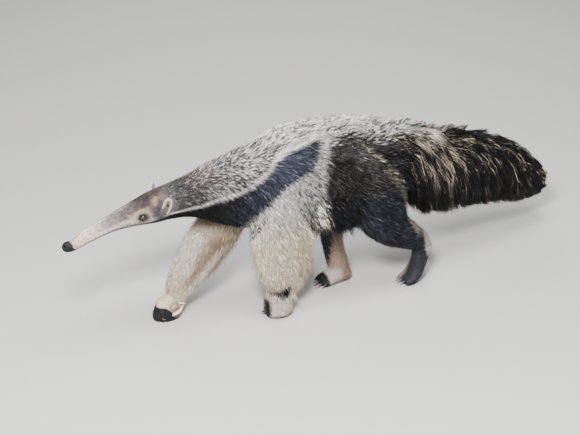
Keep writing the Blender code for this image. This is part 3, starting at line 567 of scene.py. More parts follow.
def shape_feet(points, normals):
    """Folds round the big claw of the far fore foot, and grooves between the toes of every foot."""
    x, y, z = points.T
    move = np.zeros(len(points))
    near = (1 - ramp(y, 0.046, 0.060)) * (y > 0)
    near = near * (1 - ramp(x, -0.290, -0.280)) * (1 - ramp(z, 0.075, 0.09))
    for (fold_x, fold_z), radius in FOOT_FOLDS:
        away = np.hypot(x - fold_x, z - fold_z)
        move -= FOLD_DEPTH * near * bell(away - radius, FOLD_HALF)
        move += FOLD_SWELL * near * bell(away, 0.7 * radius)
    low = 1 - ramp(z, 0.030, 0.046)
    slanted = x + 0.4 * (y - 0.05)
    for groove in RIGHT_FORE_GROOVES:
        move -= FORE_GROOVE_DEPTH * low * (y > 0) * bell(slanted - groove, 0.0024)
    front = low * (y < 0) * (1 - ramp(x, -0.028, -0.018))
    for groove in LEFT_FORE_GROOVES:
        move -= FORE_GROOVE_DEPTH * front * bell(y - groove, 0.0026)
    for toes_x, toes_y in HIND_TOES_MIDDLES:
        toes = (1 - ramp(x - toes_x, -0.004, 0.012)) * (x > toes_x - 0.05) * (z < 0.05)
        toes = toes * (np.abs(y - toes_y) < 0.05)
        for groove in HIND_GROOVES:
            move -= HIND_GROOVE_DEPTH * toes * bell(y - toes_y - groove, 0.0024)
    return points + normals * move[:, None]


def shape_face(mesh):
    """Sinks the sockets of the eyes and the nostrils, cuts the mouth, and sets brow and cheek."""
    points = vertices_of(mesh)
    normals = normals_of(mesh)
    x, y, z = points.T
    move = np.zeros(len(points))
    for side in (-1, 1):
        eye = on_side(EYE, side)
        away = distance(points, eye, (0.90, 0.6, 1.0))
        move -= SOCKET_DEPTH * np.exp(-(away / SOCKET_REACH) ** 4)
        move += MOUND_HEIGHT * bell(away - MOUND_REACH, MOUND_HALF)
        away = distance(points, eye + np.array(BROW), (0.6, 0.5, 1.5))
        move += BROW_HEIGHT * bell(away, BROW_REACH)
        away = distance(points, on_side(CHEEK, side), (0.5, 0.6, 1.0))
        move += CHEEK_HEIGHT * bell(away, CHEEK_REACH)
        fore = (x - NOSTRIL[0]) / NOSTRIL_SIZE[0]
        up = (z - NOSTRIL[2]) / NOSTRIL_SIZE[1]
        deep = np.exp(-(fore ** 2 + (up + 0.35 * fore) ** 2) * 1.6)
        move -= NOSTRIL_DEPTH * deep * ramp(side * y, 0.0035, 0.0070)
    move -= MOUTH_DEPTH * bell(z - MOUTH_Z, MOUTH_HALF) * (1 - ramp(x, *MOUTH_END))
    puckers = np.sin(x * 1100) * NOSE_PUCKER * ramp(-x, 0.690, 0.702)
    points = points + normals * (move + puckers)[:, None]
    set_vertices(mesh, shape_feet(points, normals))


# Markings

def spot(points, centre, size, tilt=0.0):
    """How strongly an oval spot, seen from the side, covers each point: 1 at its centre."""
    across = points[:, 0] - centre[0]
    up = points[:, 2] - centre[1]
    turned = math.radians(tilt)
    first = across * math.cos(turned) + up * math.sin(turned)
    second = up * math.cos(turned) - across * math.sin(turned)
    return np.exp(-(first / size[0]) ** 2 - (second / size[1]) ** 2)


def from_eyes(points, stretch):
    """The distance to the nearer eye, with each direction stretched."""
    return np.minimum(*(distance(points, on_side(EYE, side), stretch) for side in (-1, 1)))


FACE_SPOTS = (  # x and z of the middle, half sizes, tilt in degrees, colour, share
    ((-0.448, 0.4640), (0.020, 0.0070), 12, mix(TAN, BROWN, 0.45), 0.80),
    ((-0.408, 0.4880), (0.015, 0.0100), 40, mix(TAN, BROWN, 0.30), 0.80),
    ((-0.385, 0.4980), (0.013, 0.0070), 25, mix(TAN, BROWN, 0.45), 0.70),
    ((-0.440, 0.4830), (0.024, 0.0050), 38, INK, 0.45),
    ((-0.408, 0.4560), (0.0065, 0.0150), -20, INK, 0.60),
    ((-0.395, 0.4820), (0.0060, 0.0140), 15, SOOT, 0.50),
    ((-0.428, 0.4290), (0.017, 0.0080), 12, mix(GREY, WHITE, 0.75), 0.75),
    ((-0.475, 0.4300), (0.024, 0.0060), 22, mix(PINK, WHITE, 0.40), 0.50),
    ((-0.505, 0.4250), (0.030, 0.0060), 24, mix(SMOKE, TAN, 0.50), 0.40),
)


def head_colour(points):
    """Colours of the head and of the neck's front, before the stripe."""
    x, _, z = points.T
    fine = ripple(points, 0.012, 3)
    broad = ripple(points, 0.045, 4)
    grain = ripple(points, 0.0055, 7)

    # The snout: pinkish, with the dark band along its side, painted shade under the chin and a painted
    # highlight along its top
    colour = mix(PINK, WHITE, 0.34 + 0.25 * broad) * 0.72
    colour = mix(colour, TAN, 0.65 * ramp(fine, -0.3, 1.0) * (1 - ramp(x, -0.64, -0.56)))
    colour = mix(colour, mix(TAN, PINK, 0.3), 0.65 * (1 - ramp(x, -0.66, -0.60)))
    band = ramp(z - along(FACE_BAND_FOOT, x), -0.008, 0.007) * ramp(x, -0.645, -0.560)
    colour = mix(colour, mix(SMOKE, BROWN, 0.20) * 0.80, 0.95 * band * (0.88 + 0.25 * fine))
    colour = colour * (1 - 0.55 * band * ramp(x, -0.580, -0.510))[:, None]
    # Painted shade along the underside of the snout
    chin = ramp(along(CHIN_SHADE_TOP, x) - z, -0.002, 0.009)
    colour = mix(colour, mix(SMOKE, BROWN, 0.45), 0.96 * chin * ramp(x, -0.67, -0.61))
    mottle = ramp(ripple(points, 0.016, 6) + 0.6 * fine, 0.1, 1.1)
    colour = mix(colour, mix(BROWN, TAN, 0.35), 0.55 * mottle)
    # A painted highlight: a thin white line along the top of the snout
    top_highlight = ramp(z - along(SNOUT_HIGHLIGHT_FOOT, x), -0.0015, 0.0010)
    colour = mix(colour, WHITE, 0.80 * top_highlight * (1 - ramp(x, -0.53, -0.46)))

    # The dark crown and cheek, with the small marks round eye and ear
    crown = ramp(z, 0.452, 0.480) * ramp(x, -0.50, -0.45)
    colour = mix(colour, mix(CROWN_DARK, BROWN, 0.10 + 0.10 * broad), 0.96 * crown)
    cheek = ramp(x, -0.452, -0.420) * (1 - ramp(z, 0.470, 0.49))
    colour = mix(colour, mix(SMOKE, INK, 0.52), 0.92 * cheek)
    for centre, size, tilt, tint, share in FACE_SPOTS:
        colour = mix(colour, tint, share * spot(points, centre, size, tilt))
    uneven = 0.55 * grain + 0.22 * fine - 0.30 * ramp(x, -0.56, -0.44)
    colour = colour * np.exp(uneven)[:, None]
    jaw = ramp(along(JAW_TOP, x) - z, -0.001, 0.005)
    colour = mix(colour, INK, 0.92 * jaw * ramp(x, -0.53, -0.46))

    # The nose, and the skin round the eye
    slant = x + 0.5 * (z - 0.375)
    colour = mix(colour, mix(BROWN, PINK, 0.20), 0.80 * (1 - ramp(slant + 0.004 * fine, -0.684, -0.655)))
    away = from_eyes(points, (0.80, 0.55, 1.0))
    colour = mix(colour, WET_DARK, 0.98 * np.exp(-(away / 0.0180) ** 6))
    colour = mix(colour, mix(BROWN, TAN, 0.5), 0.60 * bell(away - 0.0215, 0.0035))
    return mix(colour, NOSE_BLACK, 1 - ramp(slant + 0.003 * fine, -0.685, -0.676))


def back_grey(points, speckle):
    """The grizzled grey of the neck and back, whiter along the crest."""
    x, _, z = points.T
    broad = ripple(points, 0.11, 12)
    grey = mix(GREY, SMOKE, 0.46 + 0.16 * speckle + 0.52 * (1 - ramp(x, -0.32, -0.17)))
    whiter = 0.42 * ramp(x, -0.29, -0.20) + 0.10 * ramp(x, -0.10, 0.05)
    grey = mix(grey, WHITE, whiter * (0.85 + 0.2 * broad))
    crest = ramp(z - along(CREST_FOOT, x), -0.012, 0.016)
    grey = mix(grey, WHITE, 0.50 * crest * ramp(x, -0.10, 0.04))
    grey = mix(grey, TAN, 0.30 * spot(points, (-0.245, 0.545), (0.045, 0.026)))
    return mix(grey, SMOKE, 0.75 * spot(points, (-0.215, 0.524), (0.060, 0.019), 18))


def shoulder_pale(points, speckle, below):
    """The pale shoulder under the stripe, whitest at the stripe's lower edge."""
    x, _, z = points.T
    pale = mix(mix(GREY, WHITE, 0.86), CREAM, 0.8 * ramp(-z, -0.42, -0.32))
    pale = mix(pale, GREY, 0.30 * ramp(speckle, -0.4, 1.0) + 0.05 * ramp(x, 0.06, 0.17))
    pale = mix(pale, WHITE, 0.65 * ramp(below, -0.040, -0.008))
    return mix(pale, SMOKE, 0.42 * spot(points, (0.06, 0.350), (0.080, 0.026)))


def trunk_colour(points):
    """Colours of the neck, back and flanks, with the stripe and its white edges."""
    x, _, z = points.T
    speckle = ripple(points, 0.030, 11)
    grey = back_grey(points, speckle)
    foot = along(STRIPE_FOOT, x)
    shoulder = ramp(x, -0.12, -0.06) * (1 - ramp(z - foot, -0.004, 0.004))
    colour = mix(grey, shoulder_pale(points, speckle, z - foot), shoulder)

    # The dark flank, and the band and haze over the rump
    behind = ramp(x - along(FLANK_EDGE, z), -0.022, 0.014)
    under = 1 - ramp(z - along(FLANK_TOP, x), -0.020, 0.012)
    flank = mix(SOOT, SMOKE, 0.05 + 0.30 * ramp(speckle, -0.3, 1.2) * ramp(z, 0.40, 0.50))
    flank = mix(flank, INK, 0.80 * ramp(0.44 - z, 0.0, 0.08))
    colour = mix(colour, mix(grey, WHITE, 0.30), behind * (1 - under))
    colour = mix(colour, flank, behind * under)
    off = x - along(RUMP_BAND, z)
    band = bell(off, 0.012) * ramp(x, 0.30, 0.36)
    colour = mix(colour, mix(GREY, CREAM, 0.45) * 1.1, 0.92 * band)
    rear = ramp(off, 0.012, 0.035) * (1 - ramp(z, 0.525, 0.548))
    colour = mix(colour, mix(INK, SOOT, 0.5), 0.85 * rear)
    haze = bell(off + 0.055, 0.035) * ramp(z, 0.42, 0.55) * ramp(x, 0.22, 0.28)
    colour = mix(colour, mix(GREY, SMOKE, 0.5), 0.42 * haze)

    # The white line, its tip, and the stripe, with a painted sheen on the stripe
    top = along(STRIPE_TOP, x)
    wide = along(WHITE_BAND, x)
    rim = ramp(z - top, -0.003, 0.002) * (1 - ramp(z - top, 0.9 * wide, 1.4 * wide + 0.004))
    rim = rim * ramp(wide, 0.0, 0.003) * (1 - ramp(x, 0.185, 0.20))
    colour = mix(colour, mix(WHITE, CREAM, 0.12) * 1.18, rim)
    tip = spot(points, (0.186, 0.585), (0.016, 0.030)) * ramp(z, 0.53, 0.55)
    colour = mix(colour, WHITE, 0.7 * tip)
    stripe = (1 - ramp(z - top, -0.004, 0.002)) * ramp(z - foot, -0.004, 0.003)
    stripe = stripe * (1 - ramp(x, 0.180, 0.188)) * ramp(x, -0.44, -0.40)
    # Painted sheen: a bluish reflection of the sky on the stripe, growing towards the rear
    sheen = ramp(x, -0.22, 0.08) * (0.75 + 0.25 * ripple(points, 0.05, 14))
    colour = mix(colour, mix(INK, PAINTED_SKY_SHEEN, 0.85 * sheen), 0.985 * stripe)
    belly = ramp(0.320 - z, 0.0, 0.025) * ramp(x, 0.10, 0.16)
    return mix(colour, INK, 0.8 * belly)


def fore_cream(points):
    """The creamy colour that both fore legs start from."""
    share = 0.80 * ramp(ripple(points, 0.05, 21), -0.5, 1.0)
    return mix(mix(WHITE, CREAM, 0.80) * 1.22, np.array(CREAM) * 1.12, share)


def right_fore_colour(points):
    """Colours of the right fore leg: brown inside, with a cream front edge and a bare foot."""
    x, y, z = points.T
    outer = ramp(y, 0.068, 0.110)
    core = (1 - outer) * ramp(z, 0.085, 0.14) * (1 - ramp(z, 0.29, 0.37))
    line = along(RIGHT_FORE_LINE, z)
    core = core * bell(x - line, np.interp(z, (0.12, 0.26), (0.020, 0.066)))
    colour = mix(fore_cream(points), mix(TAN, BROWN, 0.40), 0.92 * core)
    glow = bell(x - line - 0.045, 0.016) * ramp(z, 0.10, 0.13) * (1 - ramp(z, 0.19, 0.24))
    colour = mix(colour, mix(WHITE, PINK, 0.20), 0.85 * glow * (1 - outer))
    shade = (1 - outer) * ramp(z, 0.20, 0.30) * ramp(x, -0.235, -0.175)
    colour = mix(colour, mix(TAN, BROWN, 0.6), 0.88 * shade)
    ahead = np.interp(z, (0.16, 0.25), (0.010, 0.062))
    front = ramp(line - x - ahead, -0.010, 0.014) * ramp(z, 0.12, 0.17) * (1 - ramp(z, 0.27, 0.33))
    colour = mix(colour, mix(WHITE, CREAM, 0.45) * 1.18, 0.85 * front)
    rear = ramp(x - line, 0.058, 0.085) * ramp(z, 0.10, 0.16)
    colour = mix(colour, mix(STRAW, BROWN, 0.30), 0.88 * rear)

    # Foot: the claw's bed, the pad, painted shade in the folds, and the callus
    knuckle = spot(points, (-0.322, 0.040), (0.030, 0.026)) * (1 - ramp(y, 0.05, 0.07))
    colour = mix(colour, mix(PINK, TAN, 0.60), 0.90 * knuckle)
    pad = spot(points, (-0.322, 0.012), (0.030, 0.014)) * (1 - ramp(y, 0.05, 0.07))
    colour = mix(colour, mix(BROWN, SOOT, 0.35), 0.90 * pad)
    for (fold_x, fold_z), radius in FOOT_FOLDS:
        # Painted shade along each fold, where the skin is pressed in
        ring = bell(np.hypot(x - fold_x, z - fold_z) - radius, 0.0024)
        colour = mix(colour, mix(SOOT, BROWN, 0.3), 0.60 * ring * (1 - ramp(y, 0.046, 0.06)))
    callus = (1 - ramp(x - along(CALLUS_EDGE, z), -0.003, 0.003)) * (1 - ramp(z, 0.046, 0.054))
    colour = mix(colour, INK, callus)
    return mix(colour, SOOT, 0.9 * (1 - ramp(z, 0.003, 0.008)))


def left_fore_colour(points):
    """Colours of the left fore leg: creamy, with a black wrist band and a white foot."""
    x, y, z = points.T
    colour = mix(fore_cream(points), STRAW, 0.60 * ramp(x, 0.045, 0.09) * ramp(z, 0.11, 0.15))
    grizzle = ramp(z, 0.27, 0.33) * ramp(ripple(points, 0.02, 22), -0.5, 0.8)
    colour = mix(colour, GREY, 0.35 * grizzle)
    colour = mix(colour, PINK, 0.40 * spot(points, (-0.055, 0.130), (0.018, 0.020)))
    colour = mix(colour, mix(WHITE, CREAM, 0.35), 0.6 * (1 - ramp(z, 0.075, 0.10)))
    low, high = along(WRIST_BAND_FOOT, x), along(WRIST_BAND_TOP, x)
    band = ramp(z, low - 0.006, low - 0.002) * (1 - ramp(z, high + 0.001, high + 0.006))
    band = band * ramp(x, -0.044, -0.036) * (1 - ramp(x, 0.030, 0.042))
    colour = mix(colour, INK, band * (1 - ramp(y, -0.075, -0.055)))
    front = (1 - ramp(x, -0.034, -0.029)) * (1 - ramp(z, 0.058, 0.068))
    colour = mix(colour, INK, front)
    return mix(colour, SOOT, 0.9 * (1 - ramp(z, 0.003, 0.007)))


def bare_foot(points):
    """How bare the skin is: 1 on the calluses that the fore feet walk on and round the big claw."""
    x, y, z = points.T
    callus = (1 - ramp(x - along(CALLUS_EDGE, z), -0.003, 0.003)) * (1 - ramp(z, 0.046, 0.054)) * (y > 0)
    claw_bed = spot(points, (-0.318, 0.034), (0.021, 0.021), 20)
    claw_bed = 1.25 * claw_bed * (1 - ramp(y, 0.046, 0.058)) * (y > 0)
    front = (1 - ramp(x, -0.036, -0.032)) * (1 - ramp(z, 0.056, 0.066)) * (y < 0)
    return np.clip(callus + claw_bed + front, 0, 1)


def hind_ink_and_sheen(points):
    """The black that both hind legs start from, with a painted bluish sheen."""
    return mix(INK, BLACK_WITH_SHEEN, 0.60 + 0.30 * ripple(points, 0.05, 31))


def left_hind_colour(points):
    """Colours of the left hind leg: black with a painted bluish sheen, a pale rear edge and a white heel.
    """
    x, y, z = points.T
    colour = mix(mix(SOOT, SMOKE, 0.2), hind_ink_and_sheen(points), 1 - ramp(z, 0.385, 0.405))
    rim = ramp(x - along(THIGH_REAR, z), -0.020, -0.006) * ramp(z, 0.185, 0.23)
    colour = mix(colour, mix(GREY, CREAM, 0.5), 0.65 * rim)
    heel = ramp(x - along(HEEL_REAR, z), 0.002, 0.009)
    heel = heel * ramp(z, 0.095, 0.125) * (1 - ramp(z, 0.190, 0.212))
    colour = mix(colour, mix(WHITE, PINK, 0.35) * 0.85, 0.95 * heel)
    inner = ramp(y, -0.070, -0.050) * (1 - ramp(z, 0.24, 0.30))
    return mix(colour, mix(TAN, PINK, 0.4), 0.75 * inner)


def right_hind_colour(points):
    """Colours of the right hind leg: black with a painted bluish sheen outside, pinkish tan inside the
    shin.
    """
    x, y, z = points.T
    inner = 1 - ramp(y, 0.050, 0.075)
    shin = along(SHIN_FRONT, z) + 0.005 * ripple(points, 0.012, 33)
    flesh = inner * ramp(x - shin, -0.006, 0.010) * (1 - ramp(z, 0.185, 0.235))
    colour = mix(hind_ink_and_sheen(points), mix(TAN, PINK, 0.35) * 0.80, 0.94 * flesh)
    foot = 1 - ramp(z, 0.050, 0.075)
    instep = foot * ramp(x, 0.248, 0.260) * (1 - ramp(x, 0.295, 0.318))
    colour = mix(colour, mix(WHITE, PINK, 0.45) * 0.80, 0.9 * instep)
    toes = foot * (1 - ramp(x + 0.004 * ripple(points, 0.010, 34), 0.246, 0.257))
    return mix(colour, INK, 0.96 * toes)


def tail_colour(points):
    """Colours of the tail's skin: black, paler along the top where it leaves the rump."""
    x, _, z = points.T
    colour = mix(INK, SOOT, 0.7 * ramp(ripple(points, 0.09, 41), 0.0, 1.0))
    top = ramp(z - along(TAIL_RIDGE, x), 0.0, 0.05)
    return mix(colour, mix(WHITE, CREAM, 0.4), 0.35 * top * (1 - ramp(x, 0.56, 0.70)))


# Which part of the body a point belongs to

TRUNK_PART = 0
FORE_PARTS = LEFT_FORE_PART, RIGHT_FORE_PART = 1, 2
HIND_PARTS = LEFT_HIND_PART, RIGHT_HIND_PART = 3, 4
TAIL_PART = 5
HEAD_PART = 6
COAT_AREAS = (  # in the order of the parts: word in the names of the pieces, slot
    ("trunk", "body_fur"),
    ("left_fore", "foreleg_fur"),
    ("right_fore", "foreleg_fur"),
    ("left_hind", "hindleg_fur"),
    ("right_hind", "hindleg_fur"),
    ("tail", "body_fur"),       # a few hairs of the rump, nearest to the tail
    ("head", "face_fur"),
)


def part_lines():
    """Each part's middle line and half sizes: rows of x, y, z, half fore-and-aft or up, half width."""
    lines = []
    rows = smooth_rows(TRUNK, 2)
    level = rows[:, 2] + TRUNK_WIDEST * (rows[:, 1] - rows[:, 2])
    lines.append(np.stack([rows[:, 0], 0 * level, level, (rows[:, 1] - rows[:, 2]) / 2, rows[:, 3]], 1))
    for rows in (LEFT_FORE, RIGHT_FORE, LEFT_HIND + LEFT_HIND_FOOT, RIGHT_HIND + RIGHT_HIND_FOOT):
        lines.append(smooth_rows(rows, 2)[:, :5])
    rows = smooth_rows(TAIL, 2)
    level = rows[:, 3] + TAIL_WIDEST * (rows[:, 2] - rows[:, 3])
    share = tail_share(np.linspace(0, 1, len(rows)))
    lines.append(np.stack([rows[:, 0], rows[:, 1], level, share * (rows[:, 2] - rows[:, 3]) / 2,
                           share * rows[:, 4]], 1))
    return lines


def locate(points, lines):
    """For each point: its part, and for every part the place along it and the distance in radii."""
    places = np.empty((len(lines), len(points)))
    reaches = np.full((len(lines), len(points)), 1e9)
    for p, line in enumerate(lines):
        for s in range(len(line) - 1):
            start, way = line[s, :3], line[s + 1, :3] - line[s, :3]
            length = way @ way
            if length < 1e-12:
                continue
            t = np.clip((points - start) @ way / length, 0, 1)
            size = np.sqrt(line[s, 3] * line[s, 4])
            away = np.linalg.norm(points - start - t[:, None] * way, axis=1) / size
            closer = away < reaches[p]
            reaches[p][closer] = away[closer]
            places[p][closer] = (s + t[closer]) / (len(line) - 1)
    return np.argmin(reaches, axis=0), places, reaches


def body_colour(points, part):
    """The coat's colour at points of the body, blended where a leg joins the trunk."""
    x, _, z = points.T
    trunk = trunk_colour(points)
    colour = mix(head_colour(points), trunk, ramp(x, -0.400, -0.345))
    left_fore_top = 0.300 + 0.045 * ramp(-x, 0.030, 0.070)
    for p, leg_colour, top, soft in (
            (LEFT_FORE_PART, left_fore_colour, left_fore_top, 0.030),
            (RIGHT_FORE_PART, right_fore_colour, 0.330, 0.020),
            (LEFT_HIND_PART, left_hind_colour, 0.400, 0.012),
            (RIGHT_HIND_PART, right_hind_colour, 0.400, 0.012)):
        leg = mix(trunk, leg_colour(points), ramp(top - z, -soft, soft))
        colour = np.where((part == p)[:, None], leg, colour)
    colour = np.where((part == TAIL_PART)[:, None], tail_colour(points), colour)
    return np.clip(colour, 0.0, 1.0)


def paint(mesh, colours, bands=None):
    """Stores a colour for each vertex, and how far from the middle of its hair's pale band it lies."""
    layer = mesh.color_attributes.new("Coat", "FLOAT_COLOR", "POINT")
    full = np.ones((len(colours), 4), np.float32)
    full[:, :3] = colours
    layer.data.foreach_set("color", full.reshape(-1))
    if bands is not None:
        layer = mesh.attributes.new("Band", "FLOAT", "POINT")
        layer.data.foreach_set("value", bands.astype(np.float32))


# Coat

# The hairs' length in metres, width in millimetres, rise in degrees and number on a square
# centimetre, along the body
BODY_LENGTH = (
    (-0.70, 0.004), (-0.60, 0.005), (-0.45, 0.008), (-0.36, 0.0125), (-0.28, 0.019), (-0.15, 0.025),
    (0.0, 0.030), (0.15, 0.034), (0.30, 0.034), (0.40, 0.036), (0.47, 0.044),
)
BODY_WIDTH = (
    (-0.70, 0.6), (-0.60, 0.6), (-0.45, 0.75), (-0.36, 0.9), (-0.20, 1.15), (0.0, 1.3), (0.3, 1.4),
)
BODY_RISE = ((-0.70, 9), (-0.45, 12), (-0.30, 18), (-0.10, 22), (0.2, 22))
BODY_DENSE = ((-0.70, 34), (-0.45, 30), (-0.36, 27), (-0.25, 21), (-0.05, 17.5), (0.3, 16.5))

# How strongly the coat hangs down the flanks, along the body
COAT_DROP = ((-0.70, 0.0), (-0.40, 0.25), (-0.25, 0.9), (-0.05, 1.7), (0.15, 1.5), (0.35, 1.0), (0.48, 0.6))

MANE_LENGTH = 0.034     # added on the top of the back, with its rise
MANE_RISE = 22
FRINGE_LENGTH = 0.042   # added along the belly, likewise
FRINGE_RISE = 42
LEG_COATS = (  # for each leg: length from its top to its foot, width, number on a square centimetre
    (((0.0, 0.034), (0.5, 0.030), (0.62, 0.020), (0.72, 0.015), (0.85, 0.017), (1, 0.016)), 1.25, 15),
    (((0.0, 0.030), (0.5, 0.023), (0.68, 0.015), (0.85, 0.009), (1, 0.006)), 1.2, 15),
    (((0.0, 0.034), (0.12, 0.024), (0.25, 0.020), (0.45, 0.016), (0.60, 0.009), (1, 0.006)), 1.2, 16),
    (((0.0, 0.030), (0.15, 0.020), (0.30, 0.014), (0.60, 0.007), (1, 0.005)), 1.1, 16),
)
BARE_ROUND_EYE = 0.0142     # no hair grows nearer to the eye, the ear and the tip of the nose
BARE_ROUND_EAR = 0.014
BARE_NOSE_END = -0.684
SPIKE_LENGTH = 0.044    # hairs shorter than this are plain spikes
SPIKE_TAPER = (1.0, 0.0)    # widths at the points along a hair, as shares of its own width
SHORT_TAPER = (0.75, 1.0, 0.0)
LONG_TAPER = (0.8, 1.0, 0.7, 0.0)
PIECE_HAIRS = {2: 47000, 3: 19500, 4: 12000}    # the most hairs in a piece, by the points along a hair
PATCH = 0.003           # size of a hair's own patch in the unwrap
CREST_TOP = 0.632       # hair that stands higher than this is laid down to a share of its rise
CREST_GIVE = 0.35
TUFT_HAIRS = 4          # in a tuft, on average
ROOT_SHADE = 0.06       # how dark a hair is outside its pale band, as a share of its colour
# On the fore legs the darker roots are painted shade between the tufts
LEG_ROOT_SHADE = 0.55
SALT_SHARE = (  # the share of the tufts that show pale, by the brightness of the coat there
    (0.05, 0.03), (0.12, 0.10), (0.20, 0.19), (0.35, 0.36), (0.50, 0.50), (0.65, 0.70), (0.74, 0.92),
)
NO_BAND = 100.0         # width of the band of a hair that is pale all along


def coat_rules(points, normals, part, places):
    """Length, width, rise in degrees and hairs per square centimetre at points of the skin."""
    x, _, z = points.T
    up = normals[:, 2]
    length = along(BODY_LENGTH, x)
    width = along(BODY_WIDTH, x) / 1000
    rise = along(BODY_RISE, x)
    dense = along(BODY_DENSE, x)
    mane = ramp(up, 0.80, 0.97) * ramp(x, -0.12, 0.06) * (part == TRUNK_PART)
    length = length + MANE_LENGTH * mane
    rise = rise + MANE_RISE * mane
    fringe = ramp(-up, 0.10, 0.6) * ramp(x, 0.10, 0.16) * (part == TRUNK_PART)
    length = length + FRINGE_LENGTH * fringe
    rise = rise + FRINGE_RISE * fringe * (1 - ramp(x, 0.36, 0.44))
    for p, (lengths, thickness, density) in enumerate(LEG_COATS, start=LEFT_FORE_PART):
        chosen = part == p
        place = places[p][chosen]
        behind = ramp(normals[chosen, 0], 0.35, 0.9) if p in FORE_PARTS else 0.0
        length[chosen] = along(lengths, place) * (1 + 0.9 * behind * (place < 0.66))
        width[chosen] = thickness / 1000 * np.interp(place, (0.5, 0.8), (1.0, 0.55))
        foot_rise = 30 if p == LEFT_FORE_PART else 14
        rise[chosen] = np.interp(place, (0.0, 0.5, 0.75, 1.0), (22, 18, foot_rise, foot_rise)) + 10 * behind
        dense[chosen] = density * np.interp(place, (0.5, 0.75), (1.0, 1.5))
    sole = (z < 0.004) & (up < -0.5)
    bare = (x < BARE_NOSE_END) | sole | (bare_foot(points) > 0.5) | (part == TAIL_PART)
    for side in (-1, 1):
        ear = on_side(np.array(EAR_BASE) * 0.6 + np.array(EAR_TIP) * 0.4, side)
        from_ear = distance(points, ear, (1.0, 0.6, 0.8))
        bare = bare | (distance(points, on_side(EYE, side)) < BARE_ROUND_EYE) | (from_ear < BARE_ROUND_EAR)
        length = length * (0.40 + 0.60 * ramp(from_ear, 0.016, 0.036))
    return length, width, rise, np.where(bare, 0.0, dense)


def lie_of_coat(points, normals, places, reaches, lines):
    """The way that the coat lies at points of the skin: back along the body, down the limbs."""
    still = np.zeros(len(points))
    pulls = np.exp(-7.0 * (reaches - reaches.min(axis=0)))
    total = np.zeros_like(points)
    for p, line in enumerate(lines):
        run = np.gradient(line[:, :3], axis=0)
        at = places[p] * (len(line) - 1)
        way = unit(np.stack([np.interp(at, np.arange(len(line)), run[:, k]) for k in range(3)], 1))
        if p == TRUNK_PART:
            drop = along(COAT_DROP, points[:, 0])
            way = way + np.stack([still, still, -drop * (1 - np.abs(normals[:, 2]))], 1)
        elif p in HIND_PARTS:
            way = way + np.stack([np.interp(places[p], (0.1, 0.45), (1.6, 0.25)), still, still], 1)
        else:
            way = way + (0.25, 0.0, 0.0)
        total += pulls[p][:, None] * unit(way)
    total += 0.20 * np.stack([ripple(points, 0.07, 51 + k) for k in range(3)], 1)
    total -= normals * (total * normals).sum(1, keepdims=True)
    return unit(total)


def scatter(mesh, lines, chance):
    """Roots spread by chance over the skin, as close as the coat's rules say, and the normals there."""
    mesh.calc_loop_triangles()
    corners = np.empty(len(mesh.loop_triangles) * 3, np.int32)
    mesh.loop_triangles.foreach_get("vertices", corners)
    corners = corners.reshape(-1, 3)
    points, normals = vertices_of(mesh), normals_of(mesh)
    a, b, c = (points[corners[:, k]] for k in range(3))
    areas = np.linalg.norm(np.cross(b - a, c - a), axis=1) / 2
    middles = (a + b + c) / 3
    part, places, _ = locate(middles, lines)
    dense = coat_rules(middles, unit(normals[corners].sum(1)), part, places)[3]
    wanted = areas * dense * 1e4
    count = np.floor(wanted + chance.random(len(wanted))).astype(int)
    picked = np.repeat(np.arange(len(corners)), count)
    u, v = chance.random((2, len(picked)))
    over = u + v > 1
    u[over], v[over] = 1 - u[over], 1 - v[over]
    shares = np.stack([1 - u - v, u, v], 1)[..., None]
    chosen = corners[picked]
    return (points[chosen] * shares).sum(1), unit((normals[chosen] * shares).sum(1))


def clump(roots, tips, every, pull, chance):
    """Draws tips together into tufts, and gives each hair the number of its tuft."""
    centres = chance.choice(len(roots), max(1, len(roots) // every), replace=False)
    tree = KDTree(len(centres))
    for k, index in enumerate(centres):
        tree.insert(roots[index], k)
    tree.balance()
    nearest = np.array([tree.find(root)[1] for root in roots])
    chosen = centres[nearest]
    aim = tips[chosen] + (roots - roots[chosen]) * 0.25
    return tips + (aim - tips) * pull[:, None], nearest


